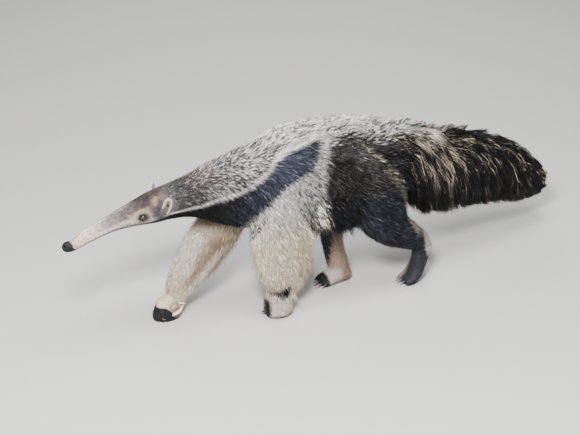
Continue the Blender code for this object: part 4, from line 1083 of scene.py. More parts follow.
def blades(name, paths, sides, widths, colours, uv, taper, bands=None):
    """Closed, tapered blades of three sides through paths of points, as one mesh."""
    count, steps = paths.shape[:2]
    runs = unit(np.gradient(paths, axis=1))
    side = unit(sides[:, None, :] - runs * (sides[:, None, :] * runs).sum(-1, keepdims=True))
    face = np.cross(runs, side)
    half = (widths[:, None] * np.array(taper)[None, :])[..., None] / 2
    rings = np.stack([paths + side * half, paths + face * half * 0.75, paths - side * half], 2)[:, :-1]
    body = rings.reshape(count, -1, 3)
    points = np.concatenate([body, paths[:, -1:, :]], 1)
    each = points.shape[1]
    faces = []
    for ring in range(steps - 2):
        low, high = ring * 3, ring * 3 + 3
        for k in range(3):
            j = (k + 1) % 3
            faces += [(low + k, high + k, high + j), (low + k, high + j, low + j)]
    last = (steps - 2) * 3
    tip = each - 1
    faces += [(last + k, tip, last + (k + 1) % 3) for k in range(3)]
    faces.append((0, 1, 2))
    faces = np.array(faces)
    every = (faces[None] + (np.arange(count) * each)[:, None, None]).reshape(-1, 3)
    mesh = bpy.data.meshes.new(name)
    mesh.vertices.add(count * each)
    mesh.vertices.foreach_set("co", (points + SHIFT).astype(np.float32).reshape(-1))
    mesh.loops.add(len(every) * 3)
    mesh.loops.foreach_set("vertex_index", every.astype(np.int32).reshape(-1))
    mesh.polygons.add(len(every))
    mesh.polygons.foreach_set("loop_start", np.arange(0, len(every) * 3, 3, dtype=np.int32))
    mesh.polygons.foreach_set("use_smooth", np.ones(len(every), bool))
    mesh.update(calc_edges=True)
    shade = np.concatenate([np.repeat(colours[:, :-1], 3, axis=1), colours[:, -1:]], 1)
    if bands is not None:
        bands = np.concatenate([np.repeat(bands[:, :-1], 3, axis=1), bands[:, -1:]], 1).reshape(-1)
    paint(mesh, shade.reshape(-1, 3), bands)
    spread = np.concatenate([
        np.stack([np.repeat(np.linspace(-1, 1, steps)[:-1], 3), np.tile((-1, 0, 1), steps - 1)], 1),
        [(1.0, 0.0)],
    ]) * (PATCH / 2)
    corners = (np.clip(uv, 0.003, 0.997)[:, None, :] + spread[None]).reshape(-1, 2)
    layer = mesh.uv_layers.new(name="OFBake")
    layer.data.foreach_set("uv", corners[every.reshape(-1)].astype(np.float32).reshape(-1))
    return new_object(name, mesh)


def coat_colours(roots, tips, part, tufts, chance):
    """Colours at the root, middle and tip of each hair, and the middle and length of its pale band."""
    x, _, z = roots.T
    count = len(roots)
    jitter = 0.0022 * chance.normal(size=roots.shape) * np.interp(x, (-0.5, -0.2), (0.3, 1))[:, None]
    base = body_colour(roots + 0.50 * (tips - roots) + jitter, part)
    ends = body_colour(roots + 0.95 * (tips - roots) + jitter, part)
    bright = base.mean(1)
    fore = np.isin(part, FORE_PARTS) * (1 - ramp(z, 0.24, 0.34))
    hind = np.isin(part, HIND_PARTS) * (1 - ramp(z, 0.36, 0.42))
    tuft_luck = chance.normal(0.0, 1.0, tufts.max() + 1)[tufts]
    tuft_place = chance.random(tufts.max() + 1)[tufts]
    hair_luck = chance.normal(0.0, 1.0, count)
    hair_place = chance.random(count)

    # Grizzled hairs: vivid colour in a pale band, which tufts show or hide
    salt = ramp(x, -0.41, -0.35) * (1 - fore) * (1 - hind)
    banded = (chance.random(count) < salt * ramp(bright, 0.075, 0.10)) & (bright < 0.72)
    level = np.interp(x, (-0.34, -0.10), (0.40, 0.88))
    vivid = np.clip(base * (level / np.maximum(bright, 0.05))[:, None], 0, 0.93)
    # In dark coat the hairs differ more in tone: random tone, widened to stand in for painted glints on
    # black hair
    spread = 1.0 + 2.4 * (1 - ramp(bright, 0.03, 0.14))
    vary = np.exp(spread * (0.17 * tuft_luck + 0.15 * hair_luck))[:, None]
    shown = np.where(banded[:, None], vivid * np.exp(0.10 * hair_luck)[:, None], base * vary)
    salted = tuft_place + 0.06 * hair_luck < along(SALT_SHARE, bright)
    start = np.where(salted, 0.12 + 0.40 * hair_place, 0.35 + 1.90 * hair_place)
    wide = np.where(salted, np.where(tuft_luck > 0.1, 0.42, 1.6), 0.12)
    start = np.where(banded, start, 0.12 + 0.22 * hair_place)
    wide = np.where(banded, wide, 2.0)

    # A few pale flecks in the dark coat of the flank
    flecks = (chance.random(count) < 0.15 * ramp(bright, 0.008, 0.016)) & (x > 0.12)
    flecks = flecks & (bright < 0.09) & (hind < 0.5) & (z > 0.37 + 0.03 * hair_luck)
    fleck_colour = mix(shown, mix(GREY, WHITE, 0.60), np.full(count, 0.95))
    shown = np.where(flecks[:, None], fleck_colour, shown)
    start = np.where(flecks, 0.50 + 0.35 * hair_place, start)
    wide = np.where(flecks, 0.35, wide)
    # Only the fore legs keep the dark root below the pale part, as painted shade between the tufts
    wide = np.where(banded | flecks | (fore > 0.5), wide, NO_BAND)

    # The tips take the colour of the place that they reach over, where it differs
    follow = np.clip(ends.mean(1) / np.maximum(bright, 0.004), 0.05, 8.0)
    changed = (np.abs(np.log(follow)) > 0.35)[:, None]
    tip_colour = np.where(changed, ends * vary, shown)
    return np.clip(np.stack([shown, shown, tip_colour], 1), 0, 0.93), start + wide / 2, wide


def short_coat(skin, lines):
    """The coat of the head, body and legs, in pieces by part."""
    chance = np.random.default_rng(2)
    roots, normals = scatter(skin.data, lines, chance)
    part, places, reaches = locate(roots, lines)
    length, width, rise, _ = coat_rules(roots, normals, part, places)
    lie = lie_of_coat(roots, normals, places, reaches, lines)
    wild = ramp(normals[:, 2], 0.80, 0.97) * ramp(roots[:, 0], -0.15, 0.05) * (part == TRUNK_PART)
    length = length * (1 + (0.22 + 0.16 * wild) * chance.uniform(-1.2, 1.0, len(roots)))
    rise = np.radians(rise) * chance.uniform(0.5, 1.35, len(roots))
    lift = np.sin(rise)[:, None] * normals
    flat = np.cos(rise)[:, None] * lie
    bend = roots + length[:, None] * (0.5 * flat + 0.62 * lift)
    droop = np.array((0.0, 0.0, -1.0)) * (0.10 * np.maximum(length - 0.02, 0) / 0.04)[:, None]
    tips = roots + length[:, None] * (flat + 0.95 * lift + droop)
    tips += 0.13 * length[:, None] * chance.normal(size=tips.shape)
    gathers = ramp(0.46 - roots[:, 2], 0.0, 0.10) * ramp(roots[:, 0], -0.20, 0.0)
    gathers = gathers * np.isin(part, (TRUNK_PART, *FORE_PARTS))
    pull = np.clip(length * 32, 0.05, 0.76) + 0.12 * gathers * ramp(length, 0.012, 0.022)
    tips, tufts = clump(roots, tips, TUFT_HAIRS, pull, chance)
    for path in (tips, bend):
        path[:, 2] = np.maximum(path[:, 2], 0.0015)
        path[:, 2] -= (1 - CREST_GIVE) * np.maximum(path[:, 2] - CREST_TOP, 0.0)
    paths = np.stack([roots - normals * 0.0012, bend, tips], 1)
    sides = unit(np.cross(normals, lie) + normals * chance.normal(0, 0.35, len(roots))[:, None])
    colours, middles, wides = coat_colours(roots, tips, part, tufts, chance)
    bands = (np.array((0.0, 0.5, 1.0)) - middles[:, None]) / wides[:, None]
    bands = np.where(wides[:, None] == NO_BAND, 0.0, bands)
    area = np.where((part == TRUNK_PART) & (roots[:, 0] < HEAD_END), HEAD_PART, part)
    short = length < SPIKE_LENGTH
    made = []
    for word, chosen, steps, taper in (
            ("fine", short, (0, 2), SPIKE_TAPER),
            ("long", ~short, (0, 1, 2), SHORT_TAPER)):
        made += cut_into_pieces(word, paths[chosen][:, steps], sides[chosen], width[chosen],
                                colours[chosen][:, steps], bands[chosen][:, steps], area[chosen],
                                places[:, chosen], roots[chosen], lines, taper)
    return made


def way_round(points, line, place):
    """How far round a part's middle line each point lies, from 0 to 1."""
    at = place * (len(line) - 1)
    middle = np.stack([np.interp(at, np.arange(len(line)), line[:, k]) for k in range(3)], 1)
    away = points - middle
    return np.arctan2(away[:, 1], away[:, 2]) / (2 * math.pi) + 0.5


def inset(share):
    """A share from 0 to 1, kept a little off the edges of the unwrap."""
    return 0.005 + 0.99 * share


def cut_into_pieces(stem, paths, sides, widths, colours, bands, area, places, roots, lines, taper):
    """Splits hairs into pieces below the limit on triangles, each with its own unwrap."""
    most = PIECE_HAIRS[len(taper)]
    made = []
    for p, (word, _) in enumerate(COAT_AREAS):
        line = TRUNK_PART if p == HEAD_PART else p
        chosen = np.flatnonzero(area == p)
        if not len(chosen):
            continue
        order = chosen[np.argsort(places[line][chosen])]
        for k, group in enumerate(np.array_split(order, math.ceil(len(order) / most))):
            place = places[line][group]
            low, high = place.min(), place.max()
            u = inset((place - low) / max(high - low, 1e-6))
            uv = np.stack([u, inset(way_round(roots[group], lines[line], place))], 1)
            made.append((p, blades(f"coat_{word}_{stem}_{k + 1}", paths[group], sides[group], widths[group],
                                   colours[group], uv, taper, bands[group])))
    return made


TAIL_LOCKS = 1120
TAIL_HAIRS = 26             # in each lock
TAIL_HAIR_WIDE = 0.0019
TAIL_STEPS = (0.0, 0.36, 0.72, 1.0)     # the points along a hair, as shares of its length
TAIL_WAVES = (0, 1.0, -0.8, 0.6)        # how far a hair's wave goes at each of them
TAIL_PALE = (  # the share of pale hairs, along the tail
    (0.44, 0.14), (0.55, 0.42), (0.61, 0.38), (0.69, 0.12), (0.76, 0.11), (0.85, 0.07), (1.05, 0.12),
    (1.2, 0.45),
)


def tail_coat():
    """Long hair that leaves the bare tail in locks, sweeps back and hangs down at its sides."""
    chance = np.random.default_rng(5)
    rows = smooth_rows(TAIL, 4)

    # Each lock: where it starts, how far it falls round the tail and runs back, and how far out it ends
    place = -0.07 + 0.93 * chance.random(TAIL_LOCKS) ** 0.95
    angle = chance.uniform(-math.pi, math.pi, TAIL_LOCKS)
    upper = 0.5 + 0.5 * np.cos(angle)
    fall = np.copysign(0.30 + 0.95 * np.sin(np.abs(angle)) ** 0.8, angle)
    fall = fall * chance.uniform(0.7, 1.3, TAIL_LOCKS)
    run = (0.070 + 0.080 * upper) * chance.uniform(0.7, 1.3, TAIL_LOCKS)
    run = run + 0.05 * ramp(place, 0.6, 0.9)
    run = np.minimum(run, chance.uniform(0.92, 1.0, TAIL_LOCKS) - place)
    reach = chance.uniform(0.80, 1.0, TAIL_LOCKS)

    # Each hair: the same, a little off its lock's
    lock = np.repeat(np.arange(TAIL_LOCKS), TAIL_HAIRS)
    count = len(lock)
    hair_place = place[lock] + chance.normal(0, 0.020, count)
    hair_angle = angle[lock] + chance.normal(0, 0.15, count)
    lowest = math.pi - chance.uniform(0.0, 0.35, count)
    root_share = tail_share(hair_place)
    end_place = np.minimum(place[lock] + run[lock] + chance.normal(0, 0.008, count), 1.0)
    end_angle = np.clip(angle[lock] + fall[lock] + chance.normal(0, 0.040, count), -lowest, lowest)
    end_share = reach[lock] * chance.uniform(0.92, 1.0, count)
    points = []
    for t in TAIL_STEPS:
        out = 1 - (1 - t) ** 2.2
        share = root_share * 0.98 + (end_share - root_share * 0.98) * out
        at = hair_place + (end_place - hair_place) * t ** 0.8
        turned = hair_angle + (end_angle - hair_angle) * t ** 1.3
        points.append(tail_points(rows, at, turned, share))
    paths = np.stack(points, 1)
    waves = chance.normal(size=(TAIL_LOCKS, 1, 3))[lock] * 0.006
    waves = waves + chance.normal(size=(count, 1, 3)) * 0.0035
    paths = paths + waves * np.array(TAIL_WAVES)[None, :, None] * (1.0, 0.4, 0.6)
    paths[:, :, 2] = np.maximum(paths[:, :, 2], 0.004)
    inner = tail_points(rows, hair_place, hair_angle, 0.0)
    outward = unit(paths[:, 0] - inner)
    sides = unit(np.cross(paths[:, 3] - paths[:, 0], outward) + 0.4 * chance.normal(size=(count, 3)))

    # Colours: pale hairs over black ones, most of them on top
    lock_pale = chance.random(TAIL_LOCKS)
    above = np.cos(angle)
    root_x = np.interp(np.clip(place, 0, 1) * (len(rows) - 1), np.arange(len(rows)), rows[:, 0])
    share = along(TAIL_PALE, root_x)
    share = share * (0.03 + 0.97 * ramp(above, 0.0, 0.80)) * (0.10 + 1.8 * lock_pale ** 1.5)
    dock = (1 - ramp(root_x, 0.53, 0.60)) * ramp(above, 0.86, 0.97)
    share = np.clip(share + 0.20 * dock, 0, 0.95)[lock]
    light = mix(mix(STRAW, GREY, 0.35), CREAM, chance.random(count) * 0.6)
    light = mix(light, mix(WHITE, CREAM, 0.35), 0.8 * dock[lock])
    dark = mix(INK, SOOT, chance.random(count) ** 1.5)
    pale = chance.random(count) < share
    tint = np.where(pale[:, None], light, dark) * np.exp(chance.normal(0, 0.30, count))[:, None]
    ends = np.where(pale[:, None], (0.25, 0.85, 1.00, 0.55), (0.8, 1.0, 1.0, 1.1))
    colours = np.clip(tint[:, None, :] * ends[..., None], 0, 0.95)
    widths = TAIL_HAIR_WIDE * chance.uniform(0.7, 1.2, count)
    made = []
    order = np.argsort(hair_place)
    for k, group in enumerate(np.array_split(order, math.ceil(count / PIECE_HAIRS[len(LONG_TAPER)]))):
        at = hair_place[group]
        u = inset((at - at.min()) / (at.max() - at.min()))
        v = inset((hair_angle[group] / (2 * math.pi)) % 1.0)
        made.append(blades(f"coat_tail_{k + 1}", paths[group], sides[group], widths[group],
                           colours[group], np.stack([u, v], 1), LONG_TAPER))
    return made


# Eyes and lids

EYE_SIDES = 48
EYE_ANGLES = 2 * math.pi * np.arange(EYE_SIDES) / EYE_SIDES
EYE_WAY = (-0.26, 0.94, 0.20)   # the way that the right eye looks
EYE_BULGE = 0.045
EYE_RINGS = 24
PUPIL = 20          # degrees from the middle of the eye
IRIS = 40
OPENING = (49, 35)  # half width and half height of the eye's opening, in degrees
OPENING_POWER = 1.55    # 2 would be an oval, 1 a diamond
LID_END = 78        # degrees from the middle of the eye
LID_PROFILE = (     # share of the way out over the lid, distance from the eye's middle in radii
    (0.00, 0.985), (0.00, 1.050), (0.05, 1.100), (0.13, 1.120), (0.22, 1.085), (0.30, 1.110),
    (0.40, 1.145), (0.52, 1.110), (0.62, 1.115), (0.75, 1.060), (1.00, 0.930), (1.00, 0.800), (0.00, 0.900),
)
EYE_TILT = 16       # degrees that the opening rises to the rear


def eye_axes(side):
    """The way an eye looks out, and the ways along and across its opening."""
    out = unit(on_side(EYE_WAY, side))
    tilt = math.radians(EYE_TILT)
    length = np.array((math.cos(tilt), 0.0, math.sin(tilt)))
    length = unit(length - out * (length @ out))
    up = np.cross(out, length) if side < 0 else np.cross(length, out)
    return out, length, up


def ring_points(side, spread, angle, reach):
    """Points round an eye: spread from its axis and angle round it in radians, reach in radii."""
    out, length, up = eye_axes(side)
    way = (np.cos(spread)[:, None] * out + np.sin(spread)[:, None]
           * (np.cos(angle)[:, None] * length + np.sin(angle)[:, None] * up))
    return on_side(EYE, side) + EYE_RADIUS * np.asarray(reach)[..., None] * way


def band_mesh(name, rings, colours, close_ends):
    """A painted mesh through rings of points, either closed at its ends or joined end to end."""
    count, sides = len(rings), len(rings[0])
    faces = faces_between(rings, round_again=not close_ends)
    if close_ends:
        faces.append(tuple(range(sides)))
        faces.append(tuple((count - 1) * sides + k for k in reversed(range(sides))))
    mesh = mesh_of(name, rings, faces)
    mesh.polygons.foreach_set("use_smooth", [True] * len(mesh.polygons))
    paint(mesh, np.concatenate(colours))
    return mesh


def eye_piece(side):
    """An eyeball with a dark pupil, a brown iris and a bulging front."""
    rings, colours = [], []
    for spread in np.linspace(1.0, 179.0, EYE_RINGS * 2):
        bulge = 1 + EYE_BULGE * math.exp(-(spread / 30) ** 4)
        rings.append(ring_points(side, np.full(EYE_SIDES, math.radians(spread)), EYE_ANGLES,
                                 np.full(EYE_SIDES, bulge)))
        tint = mix(IRIS_BROWN, WET_DARK, ramp(spread, PUPIL, IRIS))
        tint = mix(tint, PUPIL_BLACK, 1 - ramp(spread, PUPIL - 2, PUPIL + 2))
        tint = mix(tint, EYE_EDGE, ramp(spread, IRIS, IRIS + 8))
        colours.append(np.tile(tint, (EYE_SIDES, 1)))
    return new_object(f"eyeball_{side_word(side)}", band_mesh("eyeball", rings, colours, True))


def lid_opening(angle):
    """How far the lids' edge is from the middle of the eye, in radians, round the opening."""
    wide, high = OPENING
    power = OPENING_POWER
    share = (np.abs(np.cos(angle)) / wide) ** power + (np.abs(np.sin(angle)) / high) ** power
    return np.radians(share ** (-1 / power))


def lids_piece(side):
    """Both lids of an eye as one ring of folded skin, with its outer edge under the skin."""
    edge = lid_opening(EYE_ANGLES)
    upper = np.maximum(np.sin(EYE_ANGLES), 0)
    wrinkle = np.sin(EYE_ANGLES * 7 + 0.6) * np.sin(EYE_ANGLES * 3)
    rings, colours = [], []
    for share, reach in LID_PROFILE:
        spread = edge + share * (math.radians(LID_END) - edge)
        lift = 1 + (reach - 1) * (1 + 0.22 * upper * (reach > 1)) + 0.010 * wrinkle * (0.15 < share < 0.8)
        rings.append(ring_points(side, spread, EYE_ANGLES, lift))
        tint = mix(WET_DARK, LID_INNER, ramp(share, 0.05, 0.35))
        tint = mix(tint, LID_OUTER, ramp(share, 0.45, 0.9))
        # Painted shade in the lids' two grooves
        groove = bell(share - 0.22, 0.05) + bell(share - 0.53, 0.05)
        colours.append(np.tile(mix(tint, LID_GROOVE_SHADE, min(0.7 * groove, 1.0)), (EYE_SIDES, 1)))
    return new_object(f"lids_{side_word(side)}", band_mesh("lids", rings, colours, False))


# Ears

EAR_BASE = (-0.3835, 0.0535, 0.4470)
EAR_TIP = (-0.3725, 0.0700, 0.5020)
EAR_FACES = (-0.60, 0.74, 0.05)     # the way that its hollow faces
EAR_ACROSS = 25                     # points across and up the ear
EAR_UP = 22
EAR_THICK = 0.0022
EAR_WIDTHS = (
    (0.0, 0.0070), (0.12, 0.0098), (0.30, 0.0122), (0.52, 0.0130), (0.72, 0.0116), (0.88, 0.0080),
    (0.96, 0.0046), (1.0, 0.0012),
)
EAR_DEPTHS = ((0.0, 0.0080), (0.25, 0.0098), (0.55, 0.0078), (0.85, 0.0034), (1.0, 0.0006))


def ear_points(side, across, up, back):
    """Points of an ear: across from -1 to 1, up from 0 to 1, and back from its inner face."""
    base = on_side(EAR_BASE, side)
    rise = on_side(EAR_TIP, side) - base
    faces = on_side(EAR_FACES, side)
    faces = unit(faces - rise * (faces @ rise) / (rise @ rise))
    wide = np.cross(unit(rise), faces)
    across, up = np.asarray(across), np.asarray(up)
    half = along(EAR_WIDTHS, up)
    depth = along(EAR_DEPTHS, up) * (1 - np.abs(across) ** 2.2)
    curl = 0.0016 * np.abs(across) ** 6
    return (base + up[..., None] * rise + (half * across)[..., None] * wide
            + (curl - depth - back)[..., None] * faces)


def ear_piece(side):
    """A cupped ear: cream at the rim, pink inside, and dark in its hollow with painted shade."""
    across = np.linspace(-1, 1, EAR_ACROSS)
    rings, colours = [], []
    for up in np.linspace(0, 1, EAR_UP):
        level = np.full(EAR_ACROSS, up)
        thick = EAR_THICK * (1 - 0.55 * np.abs(across) ** 3) * (1 - 0.4 * up)
        inner = ear_points(side, across, level, 0 * across)
        outer = ear_points(side, across, level, thick)
        edge_up = ear_points(side, np.array((1.03, -1.03)), np.full(2, up), np.full(2, thick[0] / 2))
        rings.append(np.concatenate([inner, edge_up[:1], outer[::-1], edge_up[1:]]))
        rim = np.abs(across) ** 3
        # Painted shade, near black, deep in the ear's hollow
        hollow = np.exp(-((across + 0.05) / 0.50) ** 4 - ((up - 0.30) / 0.34) ** 4)
        tint = mix(np.tile(EAR_FLESH, (EAR_ACROSS, 1)), EAR_HOLLOW_SHADE, 0.98 * hollow)
        tint = mix(tint, mix(WHITE, CREAM, 0.5), np.clip(rim + ramp(up, 0.80, 0.97), 0, 1))
        hide = np.tile(mix(SMOKE, GREY, 0.5), (EAR_ACROSS, 1))
        hide = mix(hide, mix(WHITE, CREAM, 0.5), np.clip(0.8 * rim, 0, 1))
        colours.append(np.concatenate([tint, tint[-1:], hide[::-1], tint[:1]]))
    return new_object(f"ear_shell_{side_word(side)}", band_mesh("ear_shell", rings, colours, True))


EAR_HAIR = (  # place, number of hairs, distance behind the inner face, length, colour
    ("rim", 800, 0.0008, 0.0036, mix(WHITE, CREAM, 0.4)),
    ("back", 1100, EAR_THICK * 0.8, 0.0045, mix(GREY, SMOKE, 0.35)),
    ("inside", 240, -0.0001, 0.0036, mix(CREAM, PINK, 0.4)),
)
EAR_HAIR_WIDE = 0.00065
LASHES = (80, 40)           # on the upper and the lower lid
LASH_LONG = (0.0062, 0.0034)
LASH_WIDE = 0.00045


def ear_hair(side, chance):
    """Hair on an ear's rim, on its back and inside it, as one piece."""
    rise = unit((np.array(EAR_TIP) - np.array(EAR_BASE)) * (1, side, 1))
    roots, lies, lengths, widths, tints, spots = [], [], [], [], [], []
    for number, (kind, count, behind, long, tint) in enumerate(EAR_HAIR):
        across = chance.uniform(-1, 1, count)
        up = chance.uniform(0.0, 1.0, count) ** 0.9
        if kind == "rim":
            across = np.sign(across) * chance.uniform(0.93, 1.02, count)
        if kind == "inside":
            across = np.sign(across) * chance.uniform(0.55, 0.95, count)
            up = up * 0.9
        place = ear_points(side, across, up, np.full(count, behind))
        middle = ear_points(side, across * 0.2, up, np.full(count, 0.0))
        deeper = ear_points(side, across, up, np.full(count, 0.01))
        away = unit(place - middle)
        out = away * (0.55 if kind == "rim" else 0.20) + rise * 0.9
        if kind == "back":
            out = out + unit(deeper - place) * 0.28
        if kind == "inside":
            out = -away * 0.8 + rise * 0.5 + unit(place - deeper) * 0.5
        roots.append(place)
        lies.append(unit(out + 0.16 * chance.normal(size=(count, 3))))
        lengths.append(long * chance.uniform(0.6, 1.2, count))
        widths.append(np.full(count, EAR_HAIR_WIDE))
        tints.append(np.array(tint) * np.exp(chance.normal(0, 0.28, count))[:, None])
        spots.append(np.stack([0.02 + 0.30 * (across * 0.5 + 0.5) + 0.33 * number, 0.02 + 0.9 * up], 1))
    roots, lies, tints = np.concatenate(roots), np.concatenate(lies), np.concatenate(tints)
    lengths = np.concatenate(lengths)[:, None]
    paths = np.stack([roots - lies * 0.0006, roots + lies * lengths * 0.5,
                      roots + lies * lengths + rise * lengths * 0.15], 1)
    sides = unit(np.cross(lies, chance.normal(size=lies.shape)))
    colours = np.clip(tints[:, None, :] * np.array((0.7, 0.95, 1.05))[None, :, None], 0, 0.95)
    return blades(f"coat_ear_{side_word(side)}", paths, sides, np.concatenate(widths), colours,
                  np.concatenate(spots), SHORT_TAPER)


def lashes(side, chance):
    """Short lashes on both lids of an eye, as one piece."""
    upper, lower = LASHES
    count = upper + lower
    angle = np.concatenate([chance.uniform(0.15, math.pi - 0.15, upper),
                            -chance.uniform(0.4, math.pi - 0.4, lower)])
    edge = lid_opening(angle) + math.radians(3)
    root = ring_points(side, edge, angle, np.full(count, 1.10))
    out, _, up = eye_axes(side)
    way = unit(root - on_side(EYE, side))
    lash = unit(way * 0.8 + out * 0.5 + np.sign(np.sin(angle))[:, None] * up * 0.55
                + 0.18 * chance.normal(size=(count, 3)))
    long = (np.where(angle > 0, *LASH_LONG) * chance.uniform(0.7, 1.2, count))[:, None]
    paths = np.stack([root, root + lash * long * 0.55,
                      root + lash * long + up * long * 0.2 * np.sign(angle)[:, None]], 1)
    sides = unit(np.cross(lash, chance.normal(size=lash.shape)))
    colours = np.tile(LASH_BLACK, (count, 3, 1)).astype(float)
    spots = np.stack([0.5 + 0.4 * np.cos(angle), 0.5 + 0.4 * np.sin(angle)], 1)
    return blades(f"coat_lash_{side_word(side)}", paths, sides, np.full(count, LASH_WIDE), colours,
                  spots, SHORT_TAPER)


# Claws

FORE_CLAWS = (  # side, number, root, way out, way it curls, length, thickness, curl in degrees
    ("left", 2, (-0.002, -0.050, 0.062), (0.80, 0.55, 0.15), (0.5, 0.1, -0.3), 0.036, 0.0058, 40),
    ("left", 3, (-0.026, -0.052, 0.024), (0.45, 0.88, -0.05), (0.9, 0.1, 0.5), 0.060, 0.0085, 85),
    ("left", 4, (-0.040, -0.074, 0.022), (-0.95, 0.30, -0.35), (-0.1, 0.7, -0.3), 0.026, 0.0048, 60),
    ("right", 2, (-0.311, 0.048, 0.060), (0.80, -0.58, 0.15), (0.5, 0.1, -0.4), 0.036, 0.0058, 40),
    ("right", 3, (-0.331, 0.043, 0.022), (0.80, -0.60, -0.05), (0.5, 0.5, 0.7), 0.064, 0.0090, 88),
    ("right", 4, (-0.365, 0.052, 0.014), (-0.20, -0.94, -0.12), (0.9, 0.1, 0.2), 0.024, 0.0044, 60),
)
HIND_FEET = (  # side, root of the middle claw, way out
    ("left", (0.497, -0.068, 0.0135), (-0.90, 0.06, -0.12)),
    ("right", (0.229, 0.046, 0.0135), (-0.96, -0.08, -0.12)),
)
HIND_SPREAD = (-0.030, -0.016, -0.001, 0.014, 0.028)
HIND_LENGTHS = (0.026, 0.030, 0.032, 0.030, 0.025)
HIND_THICK = 0.0042
HIND_CURL = 32              # degrees
HIND_SPLAY = 6.0            # how far a claw turns out for its distance from the middle one
HIND_SET_BACK = 0.012       # how far behind the middle claw the outermost ones stand
CLAW_STEPS = 18             # points along a claw
CLAW_SIDES = 14
CLAW_THINNED = 0.975        # the share of its thickness that a claw has lost at its tip
CLAW_TAPER = 0.72
CLAW_SUNK = 0.15            # the share of its length that is inside the toe


def maths(tree, operation, *values):
    """The value of one Math node, from numbers and other nodes' outputs."""
    node = tree.nodes.new("ShaderNodeMath")
    node.operation = operation
    for socket, value in zip(node.inputs, values):
        if isinstance(value, (int, float)):
            socket.default_value = value
        else:
            tree.links.new(value, socket)
    return node.outputs["Value"]


def claw_tree(material):
    """Geometry Nodes that make one claw: a line bent along an arc, then a tapering tube round it."""
    tree = bpy.data.node_groups.new("claw_tree", "GeometryNodeTree")
    for name in ("Length", "Thickness", "Curl"):
        tree.interface.new_socket(name, in_out="INPUT", socket_type="NodeSocketFloat")
    tree.interface.new_socket("Geometry", in_out="OUTPUT", socket_type="NodeSocketGeometry")
    nodes, links = tree.nodes, tree.links
    given = nodes.new("NodeGroupInput")
    out = nodes.new("NodeGroupOutput")
    line = nodes.new("GeometryNodeCurvePrimitiveLine")
    fine = nodes.new("GeometryNodeResampleCurve")
    fine.inputs["Count"].default_value = CLAW_STEPS
    along_line = nodes.new("GeometryNodeSplineParameter")
    keep = nodes.new("GeometryNodeStoreNamedAttribute")
    keep.data_type = "FLOAT"
    keep.domain = "POINT"
    keep.inputs["Name"].default_value = "Along"
    links.new(line.outputs["Curve"], fine.inputs["Curve"])
    links.new(fine.outputs["Curve"], keep.inputs["Geometry"])
    links.new(along_line.outputs["Factor"], keep.inputs["Value"])
    turn = maths(tree, "MULTIPLY", along_line.outputs["Factor"], given.outputs["Curl"])
    radius = maths(tree, "DIVIDE", given.outputs["Length"], given.outputs["Curl"])
    forward = maths(tree, "MULTIPLY", maths(tree, "SINE", turn), radius)
    fallen = maths(tree, "SUBTRACT", 1.0, maths(tree, "COSINE", turn))
    bent = maths(tree, "MULTIPLY", fallen, radius)
    place = nodes.new("ShaderNodeCombineXYZ")
    links.new(forward, place.inputs["X"])
    links.new(bent, place.inputs["Z"])
    bend = nodes.new("GeometryNodeSetPosition")
    links.new(keep.outputs["Geometry"], bend.inputs["Geometry"])
    links.new(place.outputs["Vector"], bend.inputs["Position"])
    thinned = maths(tree, "MULTIPLY", along_line.outputs["Factor"], CLAW_THINNED)
    tapered = maths(tree, "POWER", maths(tree, "SUBTRACT", 1.0, thinned), CLAW_TAPER)
    thick = maths(tree, "MULTIPLY", tapered, given.outputs["Thickness"])
    taper = nodes.new("GeometryNodeSetCurveRadius")
    links.new(bend.outputs["Geometry"], taper.inputs["Curve"])
    links.new(thick, taper.inputs["Radius"])
    ring = nodes.new("GeometryNodeCurvePrimitiveCircle")
    ring.inputs["Resolution"].default_value = CLAW_SIDES
    ring.inputs["Radius"].default_value = 1.0
    tube = nodes.new("GeometryNodeCurveToMesh")
    tube.inputs["Fill Caps"].default_value = True
    links.new(taper.outputs["Curve"], tube.inputs["Curve"])
    links.new(ring.outputs["Curve"], tube.inputs["Profile Curve"])
    width = nodes.new("GeometryNodeInputRadius")
    links.new(width.outputs["Radius"], tube.inputs["Scale"])
    smooth = nodes.new("GeometryNodeSetShadeSmooth")
    links.new(tube.outputs["Mesh"], smooth.inputs["Geometry"])
    real = nodes.new("GeometryNodeRealizeInstances")
    links.new(smooth.outputs["Geometry"], real.inputs["Geometry"])
    worn = nodes.new("GeometryNodeSetMaterial")
    worn.inputs["Material"].default_value = material
    links.new(real.outputs["Geometry"], worn.inputs["Geometry"])
    links.new(worn.outputs["Geometry"], out.inputs["Geometry"])
    return tree


def claw_piece(name, tree, root, out, curl_way, length, thickness, curl):
    """One claw from the tree, set at its root."""
    carrier = new_object(name, bpy.data.meshes.new(name))
    made = carrier.modifiers.new("Claw", "NODES")
    made.node_group = tree
    values = {"Length": length, "Thickness": thickness, "Curl": math.radians(curl)}
    for item in tree.interface.items_tree:
        if item.in_out == "INPUT":
            made[item.identifier] = values[item.name]
    apply_modifiers(carrier)
    out = unit(np.array(out, float))
    curl_way = np.array(curl_way, float)
    curl_way = unit(curl_way - out * (curl_way @ out))
    across = np.cross(curl_way, out)
    place = Matrix(np.stack([out, across, curl_way], 1).tolist()).to_4x4()
    place.translation = Vector(np.array(root) - out * CLAW_SUNK * length + SHIFT)
    carrier.data.transform(place)
    carrier.data.name = name
    return carrier


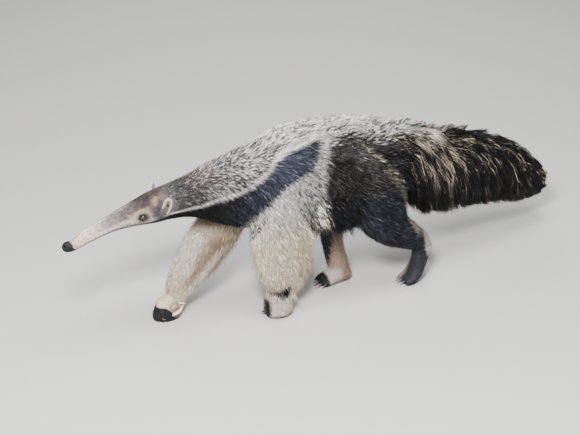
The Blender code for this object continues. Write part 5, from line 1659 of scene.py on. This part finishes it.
def all_claws():
    """Every claw, with the node that it replaces and its material."""
    pale = horn("pale_horn", (0.17, 0.13, 0.10), (0.62, 0.53, 0.40), (0.74, 0.68, 0.56))
    dark = horn("dark_horn", (0.02, 0.018, 0.016), (0.055, 0.048, 0.042), (0.16, 0.14, 0.12))
    tree = claw_tree(pale)
    made = []
    for side, number, *values in FORE_CLAWS:
        claw = claw_piece(f"horn_{side}_fore_{number}", tree, *values)
        made.append((f"{side}_fore_foot_claw_{number}", dark if number == 4 else pale, claw))
    for side, middle, out in HIND_FEET:
        for number, (spread, length) in enumerate(zip(HIND_SPREAD, HIND_LENGTHS), start=1):
            set_back = HIND_SET_BACK * (abs(spread) / 0.03) ** 2
            root = np.array(middle) + (0.0, spread, 0.0) + (set_back, 0, 0.002)
            way = np.array(out) + (0.0, HIND_SPLAY * spread, 0.0)
            claw = claw_piece(f"horn_{side}_hind_{number}", tree, root, way, (0, 0, -1), length,
                              HIND_THICK, HIND_CURL)
            made.append((f"{side}_hind_foot_claw_{number}", dark, claw))
    return made


# Materials

def principled(name):
    """A new material, its nodes and links, and its shader."""
    made = bpy.data.materials.new(name)
    made.use_nodes = True
    return made, made.node_tree.nodes, made.node_tree.links, made.node_tree.nodes["Principled BSDF"]


def attribute(nodes, name):
    """A node that reads one of the mesh's own attributes."""
    made = nodes.new("ShaderNodeAttribute")
    made.attribute_name = name
    return made


def roughen(nodes, links, shader, height, strength, depth):
    """Lets a height show as a bump in the shader, up to a depth in metres."""
    bump = nodes.new("ShaderNodeBump")
    bump.inputs["Strength"].default_value = strength
    bump.inputs["Distance"].default_value = depth
    links.new(height, bump.inputs["Height"])
    links.new(bump.outputs["Normal"], shader.inputs["Normal"])


def mottle_group():
    """Fine variation of colour and height, and hair that is dark outside its pale band."""
    group = bpy.data.node_groups.new("mottle", "ShaderNodeTree")
    for name, way, kind in (
            ("Colour", "INPUT", "NodeSocketColor"),
            ("Scale", "INPUT", "NodeSocketFloat"),
            ("Strength", "INPUT", "NodeSocketFloat"),
            ("Band", "INPUT", "NodeSocketFloat"),
            ("Root Shade", "INPUT", "NodeSocketFloat"),
            ("Colour", "OUTPUT", "NodeSocketColor"),
            ("Height", "OUTPUT", "NodeSocketFloat")):
        group.interface.new_socket(name, in_out=way, socket_type=kind)
    nodes, links = group.nodes, group.links
    given = nodes.new("NodeGroupInput")
    out = nodes.new("NodeGroupOutput")
    place = nodes.new("ShaderNodeTexCoord")
    noise = nodes.new("ShaderNodeTexNoise")
    noise.inputs["Detail"].default_value = 4.0
    links.new(place.outputs["Object"], noise.inputs["Vector"])
    links.new(given.outputs["Scale"], noise.inputs["Scale"])
    span = nodes.new("ShaderNodeMapRange")
    span.inputs["From Min"].default_value = 0.3
    span.inputs["From Max"].default_value = 0.7
    links.new(noise.outputs["Fac"], span.inputs["Value"])
    uneven = maths(group, "SUBTRACT", span.outputs["Result"], 0.5)
    varied = maths(group, "MULTIPLY_ADD", uneven, given.outputs["Strength"], 1.0)
    root = nodes.new("ShaderNodeMapRange")
    root.interpolation_type = "SMOOTHSTEP"
    root.inputs["From Min"].default_value = 0.42
    root.inputs["From Max"].default_value = 0.58
    root.inputs["To Min"].default_value = 1.0
    links.new(maths(group, "ABSOLUTE", given.outputs["Band"]), root.inputs["Value"])
    links.new(given.outputs["Root Shade"], root.inputs["To Max"])
    tinted = nodes.new("ShaderNodeVectorMath")
    tinted.operation = "SCALE"
    links.new(given.outputs["Colour"], tinted.inputs[0])
    links.new(maths(group, "MULTIPLY", root.outputs["Result"], varied), tinted.inputs["Scale"])
    links.new(tinted.outputs["Vector"], out.inputs["Colour"])
    links.new(span.outputs["Result"], out.inputs["Height"])
    return group


def painted(name, group, rough, scale, strength, shine, bump=0.0, root_shade=1.0):
    """A material that takes its colour from the coat's painted markings."""
    made, nodes, links, shader = principled(name)
    varied = nodes.new("ShaderNodeGroup")
    varied.node_tree = group
    varied.inputs["Scale"].default_value = scale
    varied.inputs["Strength"].default_value = strength
    varied.inputs["Root Shade"].default_value = root_shade
    links.new(attribute(nodes, "Coat").outputs["Color"], varied.inputs["Colour"])
    links.new(attribute(nodes, "Band").outputs["Fac"], varied.inputs["Band"])
    links.new(varied.outputs["Colour"], shader.inputs["Base Color"])
    shader.inputs["Roughness"].default_value = rough
    shader.inputs["Specular IOR Level"].default_value = shine
    if bump:
        roughen(nodes, links, shader, varied.outputs["Height"], strength=bump, depth=0.001)
    return made


def wet_eye():
    """A wet, dark eye with its painted iris under a clear front."""
    made, nodes, links, shader = principled("wet_eye")
    links.new(attribute(nodes, "Coat").outputs["Color"], shader.inputs["Base Color"])
    shader.inputs["Roughness"].default_value = 0.12
    shader.inputs["Coat Weight"].default_value = 1.0
    shader.inputs["Coat Roughness"].default_value = 0.03
    return made


def horn(name, root, middle, tip):
    """Claw horn: darkest at the root, paler to the tip, with a fine grain."""
    made, nodes, links, shader = principled(name)
    tones = nodes.new("ShaderNodeValToRGB")
    tones.color_ramp.elements.new(1.0)
    for element, position, colour in zip(tones.color_ramp.elements, (0.05, 0.42, 1.0), (root, middle, tip)):
        element.position = position
        element.color = (*colour, 1)
    links.new(attribute(nodes, "Along").outputs["Fac"], tones.inputs["Fac"])
    links.new(tones.outputs["Color"], shader.inputs["Base Color"])
    where = nodes.new("ShaderNodeTexCoord")
    grain = nodes.new("ShaderNodeTexNoise")
    grain.inputs["Scale"].default_value = 700.0
    grain.inputs["Detail"].default_value = 3.0
    links.new(where.outputs["Object"], grain.inputs["Vector"])
    roughen(nodes, links, shader, grain.outputs["Fac"], strength=0.20, depth=0.0006)
    shader.inputs["Roughness"].default_value = 0.38
    return made


def finish_piece(obj, material, replaced=()):
    """Gives a piece its material and body, and hides the nodes that it replaces."""
    obj.data.materials.clear()
    obj.data.materials.append(material)
    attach(obj, "root")
    if replaced:
        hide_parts(*replaced)


# Stage, lights and camera

FLOOR_REACH = 9.0
LAMPS = (  # name, place, size, power
    ("sky", (-0.3, -0.9, 4.2), 2.0, 250),
    ("key", (-1.9, -2.8, 3.0), 0.8, 500),
    ("back", (1.4, 3.2, 2.8), 2.5, 90),
)
LAMP_AIM = (0.0, 0.0, 0.35)


def stage_and_light():
    """A plain pale floor, an even sky and three soft lamps."""
    floor_mesh = bpy.data.meshes.new("floor")
    corners = [(x * FLOOR_REACH, y * FLOOR_REACH, 0) for x, y in ((-1, -1), (1, -1), (1, 1), (-1, 1))]
    floor_mesh.from_pydata(corners, [], [(0, 1, 2, 3)])
    floor = new_object("floor", floor_mesh)
    ground, _, _, shader = principled("pale_floor")
    shader.inputs["Base Color"].default_value = (0.45, 0.44, 0.43, 1)
    shader.inputs["Roughness"].default_value = 0.9
    floor.data.materials.append(ground)
    world = bpy.data.worlds.new("studio")
    bpy.context.scene.world = world
    world.use_nodes = True
    sky = world.node_tree.nodes["Background"]
    sky.inputs["Color"].default_value = (0.93, 0.95, 1.0, 1)
    sky.inputs["Strength"].default_value = 0.28
    for name, place, size, power in LAMPS:
        lamp = bpy.data.lights.new(name, "AREA")
        lamp.size = size
        lamp.energy = power
        holder = bpy.data.objects.new(name, lamp)
        holder.location = place
        holder.rotation_euler = (Vector(LAMP_AIM) - Vector(place)).to_track_quat("-Z", "Y").to_euler()
        bpy.context.scene.collection.objects.link(holder)


CAMERA_AIM = (0.101, 0.019, 0.3)
CAMERA_AZIMUTH = -27.0      # degrees
CAMERA_ELEVATION = 25.0
CAMERA_AWAY = 5.9           # metres
CAMERA_LENS = 108.6         # millimetres, as is the sensor's width
CAMERA_SENSOR = 36.0


def place_camera():
    """The camera at the photograph's place."""
    camera = bpy.data.cameras.new("camera")
    camera.lens = CAMERA_LENS
    camera.sensor_width = CAMERA_SENSOR
    turn, lift = math.radians(CAMERA_AZIMUTH), math.radians(CAMERA_ELEVATION)
    back = Vector((math.sin(turn) * math.cos(lift), -math.cos(turn) * math.cos(lift), math.sin(lift)))
    holder = bpy.data.objects.new("camera", camera)
    holder.location = Vector(CAMERA_AIM) + Vector(SHIFT) + back * CAMERA_AWAY
    holder.rotation_euler = back.to_track_quat("Z", "Y").to_euler()
    bpy.context.scene.collection.objects.link(holder)
    bpy.context.scene.camera = holder


# The whole animal

FLESH = (  # the nodes that the skin replaces
    "head", "snout", "neck", "torso", "left_fore_leg", "right_fore_leg", "left_hind_leg", "right_hind_leg",
    "left_fore_foot", "right_fore_foot", "left_hind_foot", "right_hind_foot", "tail",
)


def main():
    """Builds every piece and gives it its material and body, and hides the nodes that it replaces."""
    place_camera()
    group = mottle_group()
    hide = painted("hide", group, rough=0.55, scale=900, strength=0.35, shine=0.25, bump=0.5)
    fur = painted("fur", group, rough=0.60, scale=160, strength=0.16, shine=0.12, root_shade=ROOT_SHADE)
    leg_fur = painted("leg_fur", group, rough=0.60, scale=160, strength=0.16, shine=0.12,
                      root_shade=LEG_ROOT_SHADE)
    hair = painted("tail_hair", group, rough=0.50, scale=120, strength=0.20, shine=0.14)
    lines = part_lines()
    skin = skin_mesh()
    points = vertices_of(skin.data)
    part, _, _ = locate(points, lines)
    # Behind the face the skin is painted darker: painted shade under the coat
    coat_shade = ramp(points[:, 0], -0.42, -0.30)
    paint(skin.data, body_colour(points, part) * (1 - 0.45 * coat_shade)[:, None])
    for area, piece in short_coat(skin, lines):
        finish_piece(piece, leg_fur if area in FORE_PARTS else fur)
    for piece in tail_coat():
        finish_piece(piece, hair)
    set_vertices(skin.data, points + SHIFT)
    finish_piece(skin, hide, FLESH)
    wet = wet_eye()
    for side in (-1, 1):
        word = side_word(side)
        for piece, material, slot, replaced in (
                (eye_piece(side), wet, "eye", [f"eye_{word}"]),
                (lids_piece(side), hide, "face_fur", []),
                (ear_piece(side), hide, "ear_skin", [f"ear_{word}"])):
            set_vertices(piece.data, vertices_of(piece.data) + SHIFT)
            finish_piece(piece, material, replaced)
    chance = np.random.default_rng(9)
    for side in (-1, 1):
        finish_piece(ear_hair(side, chance), fur)
        finish_piece(lashes(side, chance), fur)
    for node, material, piece in all_claws():
        finish_piece(piece, material, [node])
    stage_and_light()


main()
